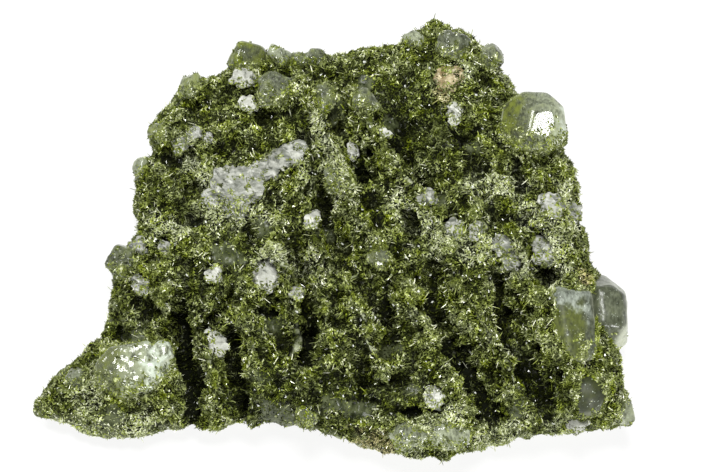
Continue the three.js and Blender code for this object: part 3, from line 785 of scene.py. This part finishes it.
def clear_material(settings):
    """Clear quartz with faint growth marks, mossy and cloudy veils and a green tint."""
    material, graph = new_material("clear_quartz")
    marks = graph.speckle(1.5 * MM, seed=1.0)
    wisps = graph.speckle(1.5 * MM, detail=4, seed=5.0)
    grains = graph.speckle(0.35 * MM, seed=6.0, stretch=(1, 0.5, 1))
    painted_sparkles = graph.speckle(0.3 * MM, detail=1, seed=8.0)
    height, _ = flake_height(graph, settings.flake_size)
    flakes = graph.attribute("flakes") * height
    relief = marks * graph.attribute("uneven") * settings.mark_height + flakes
    # The height is in metres, so a distance of 1 keeps its slopes
    bump = graph.node("ShaderNodeBump", None, {
        "Strength": 1.0, "Distance": 1.0, "Height": relief})
    glass = graph.node("ShaderNodeBsdfPrincipled", None, {
        "Base Color": (1, 1, 1, 1), "Roughness": 0.02 + 0.1 * graph.steps(marks, 0.5, 0.8),
        "IOR": settings.ior, "Transmission Weight": 1.0, "Normal": bump})
    moss = graph.attribute("moss") + 1.2 * wisps - 0.6
    tone = graph.mix(graph.steps(moss, 0.2, 0.8), settings.veil, settings.moss)
    frost = graph.attribute("frost") + 1.6 * wisps - 0.8
    tone = graph.mix(graph.steps(frost, 0.35, 0.75), tone, settings.frost)
    light = graph.attribute("light") * (
        0.3 + 0.5 * graph.steps(grains, 0.35, 0.65) + 0.6 * graph.steps(wisps, 0.35, 0.65))
    tone = graph.mix(light, settings.depth, tone)
    # Painted highlight: steep sides turn towards the pale edge colour, standing in for light
    # that comes through and round them
    tone = graph.mix(graph.attribute("rim") * (0.5 + wisps), tone, settings.edge)
    # Painted sparkle: small whitish specks
    tone = graph.mix(0.7 * graph.steps(painted_sparkles, 0.68, 0.74), tone, settings.frost)
    dullness = 1 - graph.steps(graph.attribute("gloss"), 0.1, 0.5)
    veil = graph.node("ShaderNodeBsdfPrincipled", None, {
        "Base Color": tone, "Roughness": 0.03 + 0.5 * dullness, "Specular IOR Level": 0.4,
        "Normal": bump})
    haze = graph.attribute("haze") + 0.8 * (wisps - 0.5) + 0.6 * graph.attribute("frost")
    surface = graph.node("ShaderNodeMixShader", None, {
        0: graph.steps(haze, 0.1, 0.9), 1: glass, 2: veil})
    volume = graph.node("ShaderNodeVolumeAbsorption", None, {
        "Color": (*settings.tint, 1), "Density": settings.absorption})
    finish_material(graph, surface, volume)
    return material


def milky_material(name, settings, light, dark):
    """Cloudy broken quartz, in which each shard has its own shade."""
    material, graph = new_material(name)
    fine = graph.speckle(0.5 * MM, detail=3, seed=2.0, stretch=(0.5, 1, 1))
    wide = graph.speckle(2 * MM, seed=4.0)
    height, facet_shade = flake_height(graph, settings.flake_size)
    # Each small face gets its own painted shade, as if lit from its own angle
    level = (graph.attribute("shade") + 1.2 * (fine - 0.5) + 0.9 * (wide - 0.5)
             + 0.35 * (facet_shade - 0.5))
    base = graph.mix(graph.steps(level, 0.0, 0.8), dark, light)
    # The height is in metres, and a distance above 1 makes its slopes steeper
    bump = graph.node("ShaderNodeBump", None, {
        "Strength": 1.0, "Distance": 1.2, "Height": height})
    surface = graph.node("ShaderNodeBsdfPrincipled", None, {
        "Base Color": base, "Roughness": 0.25 + 0.3 * fine, "IOR": 1.54, "Normal": bump,
        "Subsurface Weight": 0.15, "Subsurface Radius": (1, 1, 1),
        "Subsurface Scale": settings.cloud_depth})
    finish_material(graph, surface)
    return material


def floor_material(settings):
    """Pale floor that lets light through, so that shadows stay soft."""
    material, graph = new_material("floor")
    cloud = graph.speckle(50 * MM)
    surface = graph.node("ShaderNodeBsdfPrincipled", None, {
        "Base Color": (*settings.floor, 1), "Roughness": 0.6 + 0.05 * cloud,
        "Specular IOR Level": 0.1,
        "Emission Color": (1, 1, 1, 1), "Emission Strength": settings.glow})
    finish_material(graph, surface)
    return material


def crust_share(points, normals, settings):
    """1 where the crust grows, falling to 0 on the lower sides and the back."""
    height = smoothstep(points[:, 2], settings.crust_foot, settings.crust_full)
    facing = smoothstep(normals[:, 2], -0.5, 0.0)
    return height * facing


def route_reach(points, half_width, *route):
    """Distance in plan from each point to a route, as a share of the half width."""
    low, high = np.array(CAD_LOW.xy), np.array(CAD_HIGH.xy)
    stops = low + (high - low) * np.array(route) / 100
    nearest = np.full(len(points), np.inf)
    for start, end in zip(stops, [*stops[1:], stops[-1]]):
        along = end - start
        # The last stop, and a mark's only one, count as a leg without length
        part = (points[:, :2] - start) @ along / max(along @ along, MM ** 2)
        foot = start + np.clip(part, 0, 1)[:, None] * along
        nearest = np.minimum(nearest, np.linalg.norm(points[:, :2] - foot, axis=1))
    return nearest / (MM * half_width)


def markings(points, settings):
    """Strength of each kind of mark at each point, with ragged edges."""
    crumbs = noise_at(points, settings.mark_bay) + 0.5 * noise_at(points, settings.mark_crumb)
    strengths = {}
    for kind, marks in MARKS.items():
        nearest = np.minimum.reduce([route_reach(points, *mark) for mark in marks.values()])
        strengths[kind] = 1 - smoothstep(nearest + 0.8 * crumbs, 0.55, 1.15)
    return strengths


def crust_relief(point, settings):
    """Height of the mossy clumps and their grains at a point."""
    lump = noise.noise(point / settings.lump_size)
    nearest = noise.voronoi(point / settings.clump_size)[0][0]
    grain = noise.noise(point / settings.grain_size)
    return (settings.lump_height * lump + settings.clump_height * (0.35 - nearest)
            + settings.grain_height * grain)


class SPECIMEN_OT_rock(bpy.types.Operator):
    """Rebuilds the plate as rough rock with mossy clumps"""

    bl_idname = "specimen.rock"
    bl_label = "Build Rock"

    def execute(self, context):
        settings = context.scene.specimen_rock
        rock = new_object("epidote_rock", merged_copy("epidote_matrix"))
        modified(rock, "REMESH", mode="VOXEL", voxel_size=settings.voxel)
        modified(rock, "SMOOTH", factor=0.5, iterations=4)
        freeze(rock)
        mesh = rock.data
        points = points_of(mesh)
        normals = normals_of(mesh)
        crust = crust_share(points, normals, settings)
        marks = markings(points, settings)
        relief = np.array([crust_relief(Vector(point), settings) for point in points])
        relief *= 1 - 0.75 * marks["glassy"]
        relief -= settings.furrow_depth * marks["dark"]
        side = smoothstep(points[:, 2], settings.side_foot, settings.crust_foot)
        rise = np.maximum(crust, 0.5 * side) * (relief - settings.sink)
        gap = distances(surface_tree(solids(CLEAR_NODES)), points) / settings.closing_reach
        rise += (1 - smoothstep(gap, 1 / 3, 1)) * (settings.closing - rise)
        points = points + normals * rise[:, None]
        points[:, 2] = np.maximum(points[:, 2], 0)
        set_points(mesh, points)
        self.store_growth(mesh, points, marks, settings)
        mesh.shade_smooth()
        finish_piece(rock, rock_material(settings), ["epidote_matrix"])
        return {"FINISHED"}

    @staticmethod
    def store_growth(mesh, points, marks, settings):
        """Stores how hollow the rock is, as darkness that is partly painted shade, and how
        densely needles grow on it.
        """
        normals = normals_of(mesh)
        depth = ((evened(mesh, points, 80) - points) * normals).sum(axis=1)
        dent = ((evened(mesh, points, 6) - points) * normals).sum(axis=1)
        # Hollows and dark marks are darkened partly as darker crystals and partly as painted
        # shade; dents between the clumps add painted shade
        hollow = np.maximum(0.8 * np.clip(depth / settings.hollow_depth, 0, 1), marks["dark"])
        darkness = np.clip(hollow + 0.6 * np.clip(dent / settings.dent_depth, 0, 1), 0, 1)
        crest = np.clip(-depth / settings.hollow_depth, 0, 1)
        crust = crust_share(points, normals, settings)
        gap = distances(surface_tree(solids(MILKY_NODES + STAINED_NODES)), points)
        room = crust * (0.1 + 0.9 * smoothstep(gap / settings.bare_reach, 0.2, 1))
        room *= 1 - 0.8 * marks["glassy"]
        store(mesh, "hollow", darkness)
        store(mesh, "crust", crust)
        for name in ("stain", "pale", "dull", "glassy"):
            store(mesh, name, marks[name])
        store(mesh, "grow_even", room * (1 - 0.6 * hollow))
        store(mesh, "grow_crest", room * (0.15 + crest) * (1 - hollow))
        store(mesh, "grow_hollow", room * (0.1 + hollow) * (1 - 0.8 * marks["dark"]))


def shape(name, corners, faces):
    """Object that holds one small body of unit size."""
    mesh = bpy.data.meshes.new(name)
    mesh.from_pydata(corners, [], faces)
    mesh.validate()
    return new_object(name, mesh)


def needle_shape():
    """Needle with three sides and a slanted tip."""
    ring = [(math.cos(a) / 2, math.sin(a) / 2) for a in np.radians([90, 210, 330])]
    foot = [(x, y, 0.0) for x, y in ring]
    tip = [(0.7 * x, 0.7 * y, 1 - 0.12 * i) for i, (x, y) in enumerate(ring)]
    sides = [(i, (i + 1) % 3, (i + 1) % 3 + 3, i + 3) for i in range(3)]
    return shape("needle", foot + tip, [(2, 1, 0), (3, 4, 5), *sides])


def grain_shape():
    """Grain with four faces, longer than wide."""
    corners = [(-0.4, -0.3, -0.3), (0.5, -0.2, -0.25), (0.0, 0.5, -0.35), (0.1, -0.1, 0.7)]
    return shape("grain", corners, [(2, 1, 0), (0, 1, 3), (1, 2, 3), (2, 0, 3)])


def shard_shape():
    """Angular shard: the hull of a few scattered points."""
    random = np.random.default_rng(4)
    rays = random.normal(size=(11, 3))
    rays *= 0.5 / np.linalg.norm(rays, axis=1)[:, None]
    work = bmesh.new()
    for ray in rays:
        work.verts.new(ray)
    bmesh.ops.convex_hull(work, input=work.verts)
    mesh = bpy.data.meshes.new("shard")
    work.to_mesh(mesh)
    work.free()
    return new_object("shard", mesh)


def scatter_tree():
    """Geometry Nodes that grow small bodies out of a surface.

    Each body leans by a random spread, and by a sway that its neighbours share.
    """
    spread = 0.4
    sway = 3
    tree = bpy.data.node_groups.new("grow_bodies", "GeometryNodeTree")
    sockets = [
        ("Geometry", "INPUT", "NodeSocketGeometry"),
        ("Body", "INPUT", "NodeSocketObject"),
        ("Growth", "INPUT", "NodeSocketString"),
        ("Density", "INPUT", "NodeSocketFloat"),
        ("Length", "INPUT", "NodeSocketFloat"),
        ("Width", "INPUT", "NodeSocketFloat"),
        ("Upright", "INPUT", "NodeSocketFloat"),
        ("Tuft", "INPUT", "NodeSocketFloat"),
        ("Shade Low", "INPUT", "NodeSocketFloat"),
        ("Shade High", "INPUT", "NodeSocketFloat"),
        ("Seed", "INPUT", "NodeSocketInt"),
        ("Material", "INPUT", "NodeSocketMaterial"),
        ("Geometry", "OUTPUT", "NodeSocketGeometry"),
    ]
    for name, side, kind in sockets:
        tree.interface.new_socket(name=name, in_out=side, socket_type=kind)
    graph = Graph(tree)
    entry = tree.nodes.new("NodeGroupInput")
    given = {
        name: Wire(graph, entry.outputs[name]) for name, side, _ in sockets if side == "INPUT"}

    growth = graph.node(
        "GeometryNodeInputNamedAttribute", {"data_type": "FLOAT"}, {"Name": given["Growth"]})
    scatter = graph.node("GeometryNodeDistributePointsOnFaces", None, {
        "Mesh": given["Geometry"], "Density": given["Density"] * growth,
        "Seed": given["Seed"]})
    normal = Wire(graph, scatter.socket.node.outputs["Normal"])
    alone = random_wire(graph, given["Seed"] + 1, (-spread,) * 3, (spread,) * 3)
    tuft = graph.node("ShaderNodeTexNoise", None, {
        "Vector": graph.node("GeometryNodeInputPosition"), "Scale": given["Tuft"],
        "Detail": 1.0}, output=1)
    together = graph.node("ShaderNodeVectorMath", {"operation": "MULTIPLY_ADD"}, {
        0: tuft, 1: (2 * sway,) * 3, 2: (-sway,) * 3})
    sideways = graph.node("ShaderNodeVectorMath", {"operation": "ADD"}, {0: alone, 1: together})
    lean = graph.node("ShaderNodeVectorMath", {"operation": "SCALE"}, {
        0: normal, "Scale": given["Upright"]})
    direction = graph.node("ShaderNodeVectorMath", {"operation": "ADD"}, {0: lean, 1: sideways})
    turn = graph.node(
        "FunctionNodeAlignRotationToVector", {"axis": "Z"}, {"Vector": direction})
    long = given["Length"] * random_wire(graph, given["Seed"] + 2, 0.55, 1.5)
    wide = given["Width"] * random_wire(graph, given["Seed"] + 3, 0.7, 1.3)
    size = graph.node("ShaderNodeCombineXYZ", None, {"X": wide, "Y": wide * 0.8, "Z": long})
    bodies = graph.node("GeometryNodeInstanceOnPoints", None, {
        "Points": scatter, "Instance": object_wire(graph, given["Body"]),
        "Rotation": turn, "Scale": size})
    rank = random_wire(graph, given["Seed"] + 4, 0.0, 1.0) ** 2
    shade = given["Shade Low"] + rank * (given["Shade High"] - given["Shade Low"])
    shaded = graph.node(
        "GeometryNodeStoreNamedAttribute", {"data_type": "FLOAT", "domain": "INSTANCE"},
        {"Geometry": bodies, "Name": "shade", "Value": shade})
    end_tree(graph, shaded, given["Material"])
    return tree


def random_wire(graph, seed, low, high):
    """Random number, or random vector where the limits are vectors."""
    if isinstance(low, tuple):
        return graph.node("FunctionNodeRandomValue", {"data_type": "FLOAT_VECTOR"},
                          {0: low, 1: high, 8: seed}, output=0)
    return graph.node("FunctionNodeRandomValue", {"data_type": "FLOAT"},
                      {2: low, 3: high, 8: seed}, output=1)


def object_wire(graph, source):
    """Geometry of another object."""
    return graph.node("GeometryNodeObjectInfo", None, {"Object": source}, output=4)


def end_tree(graph, geometry, material):
    """Realizes the instances, gives them their material and ends the tree."""
    real = graph.node("GeometryNodeRealizeInstances", None, {"Geometry": geometry})
    covered = graph.node(
        "GeometryNodeSetMaterial", None, {"Geometry": real, "Material": material})
    graph.node("NodeGroupOutput", None, {"Geometry": covered})


def grow(name, source, tree, inputs):
    """Runs a Geometry Nodes tree on a copy of the source mesh and keeps the plain result."""
    piece = new_object(name, source.copy())
    modifier = piece.modifiers.new("Growth", "NODES")
    modifier.node_group = tree
    inputs = {"Tuft": 1 / TUFT_SIZE, **inputs}
    for item in tree.interface.items_tree:
        if item.in_out == "INPUT" and item.name in inputs:
            modifier[item.identifier] = inputs[item.name]
    freeze(piece)
    for attribute in [a.name for a in piece.data.attributes if a.name.startswith("grow_")]:
        piece.data.attributes.remove(piece.data.attributes[attribute])
    return piece


def growth_total(mesh, growth):
    """Area of a mesh, counted only as far as the growth attribute allows."""
    return float((corner_areas(mesh) * values_of(mesh, growth)).sum())


# Habits of the epidote: its body, where it grows, its share of a full piece,
# length and width as shares of the middle ones, how far it stands up, and
# its lowest and highest shade
HABITS = {
    "grains_even": ("grain", "grow_even", 1.2, 1.0, 1.0, 0.4, 0.0, 1.2),
    "grains_on_crests": ("grain", "grow_crest", 1.1, 1.0, 1.0, 0.5, 0.2, 1.4),
    "grains_in_hollows": ("grain", "grow_hollow", 0.45, 1.1, 1.1, 0.4, 0.0, 1.2),
    "needles_even": ("needle", "grow_even", 0.5, 1.0, 1.0, 0.4, 0.0, 1.2),
    "needles_on_crests": ("needle", "grow_crest", 0.5, 1.0, 1.0, 0.5, 0.2, 1.4),
    "needles_in_hollows": ("needle", "grow_hollow", 0.3, 1.2, 1.0, 0.4, 0.0, 1.3),
    # Long needles reach the highest shades, so many carry painted glints
    "long_needles": ("needle", "grow_even", 0.14, 2.5, 1.2, 0.3, 0.5, 1.8),
}


class SPECIMEN_OT_needles(bpy.types.Operator):
    """Grows the felt of fine needles and grains on the rock"""

    bl_idname = "specimen.needles"
    bl_label = "Grow Needles"

    def execute(self, context):
        settings = context.scene.specimen_needles
        rock = bpy.data.objects["epidote_rock"].data
        tree = scatter_tree()
        kinds = {
            "needle": (needle_shape(), settings.needles,
                       settings.needle_length, settings.needle_width),
            "grain": (grain_shape(), settings.grains,
                      settings.grain_length, settings.grain_width),
        }
        material = needle_material(settings, context.scene.specimen_rock)
        for seed, (name, habit) in enumerate(HABITS.items()):
            kind, growth, part, long, wide, upright, low, high = habit
            body, number, middle_length, middle_width = kinds[kind]
            piece = grow(name, rock, tree, {
                "Body": body, "Growth": growth,
                "Density": part * number / growth_total(rock, growth),
                "Length": long * middle_length, "Width": wide * middle_width,
                "Upright": upright, "Shade Low": low, "Shade High": high,
                "Seed": 10 * seed, "Material": material,
            })
            finish_piece(piece)
        for body, *_ in kinds.values():
            bpy.data.objects.remove(body)
        return {"FINISHED"}


def broken_faces(point, size):
    """Height of flat faces that lean this way and that, at a point."""
    middle = noise.voronoi(point / size)[1][0] * size
    return noise.noise_vector(middle * FACE_SPREAD).dot(point - middle)


def store_look(mesh, points, node, look):
    """Stores a look, and how far back each corner lies on its node."""
    low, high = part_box(node)
    store(mesh, "back_share", (points[:, 1] - low.y) / (high.y - low.y))
    for field, value in look.items():
        if field not in SHAPING_FIELDS:
            store(mesh, field, np.broadcast_to(value, len(points)))


def pair_look(right, forward):
    """Mossy left crystal, greyer right one, and frost on their upper corner and seam."""
    seam = 7.5 * MM
    outer = smoothstep(right, seam - 1.5 * MM, seam + 1 * MM)
    from_corner = np.hypot(right - 3.2 * MM, forward - 2.5 * MM)
    from_seam = np.abs(right - seam) + 0.3 * np.abs(forward - 9 * MM)
    frosted_corner = 1 - smoothstep(from_corner, 2.5 * MM, 8.5 * MM)
    frosted_seam = 1 - smoothstep(from_seam, 0, 2 * MM)
    return {
        "moss": 0.75 - 0.6 * outer,
        "light": 0.4 - 0.12 * outer,
        "gloss": 0.05 + 0.25 * outer,
        "frost": frosted_corner + 0.7 * frosted_seam,
    }


def lower_left_look(right):
    """Clear left side, and a right side broken into small bright faces, whitened by frost that
    is partly a painted highlight.
    """
    broken = smoothstep(right, 3.5 * MM, 6 * MM)
    return {
        "moss": 0.5 - 0.2 * broken,
        "light": 1.7 - 0.5 * broken,
        "flakes": 0.1 + 0.4 * broken,
        "frost": 0.3 * broken + 0.3 * smoothstep(right, 8 * MM, 10 * MM),
    }


def upper_right_look(right):
    """Green left side, and a right one painted bright and frosted: a painted highlight of the
    light that comes through its thin end.
    """
    outer = smoothstep(right, 8 * MM, 10.5 * MM)
    return {
        "moss": 0.75 - 0.5 * smoothstep(right, 1 * MM, 7 * MM),
        "light": 0.85 + 0.6 * outer,
        "frost": 0.5 * outer,
    }


def changing_look(node, points):
    """Parts of the look that change from one side of a large crystal to the other."""
    low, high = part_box(node)
    right = points[:, 0] - low.x
    forward = high.y - points[:, 1]
    if node == "quartz_right_pair":
        return pair_look(right, forward)
    if node == "quartz_lower_left":
        return lower_left_look(right)
    if node == "quartz_upper_right":
        return upper_right_look(right)
    return {}


def grown_crystal(name, node, settings):
    """Crystal with softened edges, grown out to close its seat."""
    noise.seed_set(FACE_SEED)
    look = {**COMMON_LOOK, "frost": 0, **CLEAR_LOOKS.get(node, {})}
    piece = new_object(name, merged_copy(node))
    modified(piece, "REMESH", mode="VOXEL", voxel_size=settings.voxel)
    modified(piece, "SMOOTH", factor=0.5, iterations=round((look["soft"] / settings.voxel) ** 2))
    freeze(piece)
    mesh = piece.data
    points = points_of(mesh)
    pits = noise_at(points, settings.pit_size)
    faces = np.array([broken_faces(Vector(point), look["facet"]) for point in points])
    rise = (settings.grow + look["uneven"] * settings.pit_height * pits
            + look["broken"] * faces)
    normals = normals_of(mesh)
    # The rim is kept to the steep sides, where it paints a highlight
    look["rim"] = look["rim"] * smoothstep(1 - normals[:, 2], 0.4, 0.9)
    points = points + normals * rise[:, None]
    set_points(mesh, points)
    mesh.shade_smooth()
    look.update(changing_look(node, points))
    store_look(mesh, points, node, look)
    return piece


class SPECIMEN_OT_clear_crystals(bpy.types.Operator):
    """Turns the clear crystals glassy"""

    bl_idname = "specimen.clear_crystals"
    bl_label = "Build Clear Crystals"

    def execute(self, context):
        settings = context.scene.specimen_clear
        material = clear_material(settings)
        for node in CLEAR_NODES:
            piece = grown_crystal(node.replace("quartz_", "clear_"), node, settings)
            finish_piece(piece, material, [node])
        return {"FINISHED"}


def ragged_chip(name, node, settings):
    """Chip with bays in its outline and flat broken faces."""
    noise.seed_set(FACE_SEED)
    piece = new_object(name, merged_copy(node))
    modified(piece, "REMESH", mode="VOXEL", voxel_size=settings.voxel)
    freeze(piece)
    mesh = piece.data
    points = points_of(mesh)
    bays = noise_at(points, settings.ragged_size)
    faces = np.array([broken_faces(Vector(point), settings.facet_size) for point in points])
    look = {**MILKY_LOOK, **MILKY_LOOKS.get(node, {})}
    rise = (settings.grow + look["ragged"] * settings.ragged_height * bays
            + settings.facet_slope * faces)
    points = points + normals_of(mesh) * rise[:, None]
    middle = sum(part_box(node), Vector()) / 2
    above = np.maximum(points[:, 2] - middle.z, 0)
    points[:, 2] -= settings.sink + settings.flatness * above
    set_points(mesh, points)
    mesh.shade_smooth()
    store_look(mesh, points, node, look)
    return piece


class SPECIMEN_OT_milky_quartz(bpy.types.Operator):
    """Breaks up the milky and stained quartz"""

    bl_idname = "specimen.milky_quartz"
    bl_label = "Build Milky Quartz"

    def execute(self, context):
        settings = context.scene.specimen_milky
        groups = [
            (MILKY_NODES, "milky_quartz", settings.white, settings.grey),
            (STAINED_NODES, "stained_quartz", settings.tan, settings.brown),
        ]
        tree = scatter_tree()
        shard = shard_shape()
        for seed, (nodes, slot, light, dark) in enumerate(groups):
            material = milky_material(slot, settings, light, dark)
            chips = [ragged_chip(f"ragged_{node}", node, settings) for node in nodes]
            host = joined_mesh("chips", chips)
            store(host, "grow_shards", np.ones(len(host.vertices)))
            shards = grow(f"{slot}_shards", host, tree, {
                "Body": shard, "Growth": "grow_shards",
                "Density": 1 / settings.shard_spacing ** 2,
                "Length": settings.shard_height, "Width": settings.shard_width,
                "Upright": 3.5, "Shade Low": 0.0, "Shade High": 1.3,
                "Seed": 200 + 10 * seed, "Material": material,
            })
            finish_piece(shards)
            for chip, node in zip(chips, nodes):
                finish_piece(chip, material, [node])
        rock = bpy.data.objects["epidote_rock"].data
        flecks = grow("milky_flecks", rock, tree, {
            "Body": shard, "Growth": "grow_even",
            "Density": settings.flecks / growth_total(rock, "grow_even"),
            "Length": settings.fleck_size, "Width": 1.2 * settings.fleck_size,
            "Upright": 0.5, "Shade Low": -0.4, "Shade High": 1.4, "Seed": 400,
            "Material": bpy.data.materials["milky_quartz"],
        })
        finish_piece(flecks)
        bpy.data.objects.remove(shard)
        return {"FINISHED"}


class SPECIMEN_OT_overgrowth(bpy.types.Operator):
    """Grows grains of epidote over the edges of the quartz"""

    bl_idname = "specimen.overgrowth"
    bl_label = "Grow Over Quartz"

    def execute(self, context):
        settings = context.scene.specimen_growth
        felt = context.scene.specimen_needles
        rock = bpy.data.objects["epidote_rock"]
        hosts = [piece for piece in bpy.data.objects
                 if piece.name.startswith(("clear_", "ragged_"))]
        host = joined_mesh("hosts", sorted(hosts, key=lambda piece: piece.name))
        points = points_of(host)
        tree = surface_tree([rock])
        covered = np.array([
            tree.ray_cast(Vector(point), Vector(normal), settings.buried)[0] is not None
            for point, normal in zip(points, normals_of(host))])
        patch = noise_at(points, settings.patch_size)
        climb = values_of(host, "climb") * np.maximum(1 + 1.6 * patch, 0.1)
        low = 1 - smoothstep(distances(tree, points) / climb, 0.3, 1.0)
        behind = values_of(host, "back_share") + 0.4 * patch - values_of(host, "cover")
        near = 1 - smoothstep(behind, -0.05, 0.1)
        spare = 0.9 - 1.1 * values_of(host, "patchy")
        patches = smoothstep(patch - spare, 0, 0.1)
        growth = np.maximum.reduce([low, near, patches])
        store(host, "grow_over", np.where(covered, 0, growth))
        store(host, "hollow", np.zeros(len(points)))
        body = grain_shape()
        piece = grow("grains_on_quartz", host, scatter_tree(), {
            "Body": body, "Growth": "grow_over",
            "Density": settings.grains / growth_total(host, "grow_over"),
            "Length": felt.grain_length, "Width": felt.grain_width,
            "Upright": 0.6, "Shade Low": 0.1, "Shade High": 1.2,
            "Seed": 300, "Material": bpy.data.materials["epidote_needles"],
        })
        finish_piece(piece)
        bpy.data.objects.remove(body)
        return {"FINISHED"}


def direction(azimuth, elevation):
    """Direction towards a place above the floor; azimuth 0 is the viewer's side."""
    return Vector((
        math.sin(azimuth) * math.cos(elevation),
        -math.cos(azimuth) * math.cos(elevation),
        math.sin(elevation),
    ))


# Azimuth and elevation of each softbox, in degrees
SOFTBOXES = {"key": (180, 75), "side": (-135, 42), "front": (25, 28)}


def softbox(name, towards, distance, size, power):
    """Square light that shines on the specimen."""
    light = bpy.data.lights.new(name, "AREA")
    light.shape = "SQUARE"
    light.size = size
    light.energy = power
    lamp = bpy.data.objects.new(name, light)
    lamp.location = towards * distance
    lamp.rotation_euler = towards.to_track_quat("Z", "Y").to_euler()
    bpy.context.scene.collection.objects.link(lamp)


class SPECIMEN_OT_stage(bpy.types.Operator):
    """Sets up the floor, the lights and the camera"""

    bl_idname = "specimen.stage"
    bl_label = "Set Up Stage"

    def execute(self, context):
        settings = context.scene.specimen_stage
        scene = context.scene
        self.lay_floor(settings)
        world = bpy.data.worlds.new("surround")
        world.use_nodes = True
        background = world.node_tree.nodes["Background"]
        background.inputs["Color"].default_value = (1, 1, 1, 1)
        background.inputs["Strength"].default_value = settings.surround
        scene.world = world
        for name, angles in SOFTBOXES.items():
            softbox(name, direction(*map(math.radians, angles)), settings.box_distance,
                    settings.box_size, getattr(settings, f"{name}_power"))
        scene.view_settings.view_transform = "Standard"
        self.place_camera(scene, settings)
        return {"FINISHED"}

    @staticmethod
    def lay_floor(settings):
        """Lays a square floor under the specimen."""
        mesh = bpy.data.meshes.new("floor")
        half = settings.floor_size / 2
        corners = [(-half, -half, 0), (half, -half, 0), (half, half, 0), (-half, half, 0)]
        mesh.from_pydata(corners, [], [(0, 1, 2, 3)])
        floor = new_object("floor", mesh)
        mesh.materials.append(floor_material(settings))

    @staticmethod
    def place_camera(scene, settings):
        """Looks down on the crust, a little to one side of the box's middle."""
        middle = (CAD_LOW + CAD_HIGH) / 2
        target = middle + Vector(settings.aim)
        data = bpy.data.cameras.new("camera")
        data.lens = settings.focal_length
        data.clip_start = 10 * MM
        camera = bpy.data.objects.new("camera", data)
        back = direction(0, settings.elevation)
        camera.location = target + back * settings.camera_distance
        camera.rotation_euler = back.to_track_quat("Z", "Y").to_euler()
        scene.collection.objects.link(camera)
        scene.camera = camera


OPERATORS = (
    SPECIMEN_OT_rock,
    SPECIMEN_OT_needles,
    SPECIMEN_OT_clear_crystals,
    SPECIMEN_OT_milky_quartz,
    SPECIMEN_OT_overgrowth,
    SPECIMEN_OT_stage,
)


class SPECIMEN_PT_build(bpy.types.Panel):
    """Lists the steps that build the specimen"""

    bl_idname = "SPECIMEN_PT_build"
    bl_label = "Quartz on Epidote"
    bl_space_type = "VIEW_3D"
    bl_region_type = "UI"
    bl_category = "Specimen"

    def draw(self, context):
        for operator in OPERATORS:
            self.layout.operator(operator.bl_idname)
        for name, group in SETTINGS.items():
            box = self.layout.box()
            for field in group.__annotations__:
                box.prop(getattr(context.scene, name), field)


def register():
    for group in SETTINGS.values():
        bpy.utils.register_class(group)
    for name, group in SETTINGS.items():
        setattr(bpy.types.Scene, name, PointerProperty(type=group))
    for operator in OPERATORS:
        bpy.utils.register_class(operator)
    bpy.utils.register_class(SPECIMEN_PT_build)


def unregister():
    bpy.utils.unregister_class(SPECIMEN_PT_build)
    for operator in reversed(OPERATORS):
        bpy.utils.unregister_class(operator)
    for name in SETTINGS:
        delattr(bpy.types.Scene, name)
    for group in reversed(SETTINGS.values()):
        bpy.utils.unregister_class(group)


def main():
    """Builds the specimen step by step."""
    register()
    bpy.ops.specimen.rock()
    bpy.ops.specimen.needles()
    bpy.ops.specimen.clear_crystals()
    bpy.ops.specimen.milky_quartz()
    bpy.ops.specimen.overgrowth()
    bpy.ops.specimen.stage()


if __name__ == "__main__":
    main()
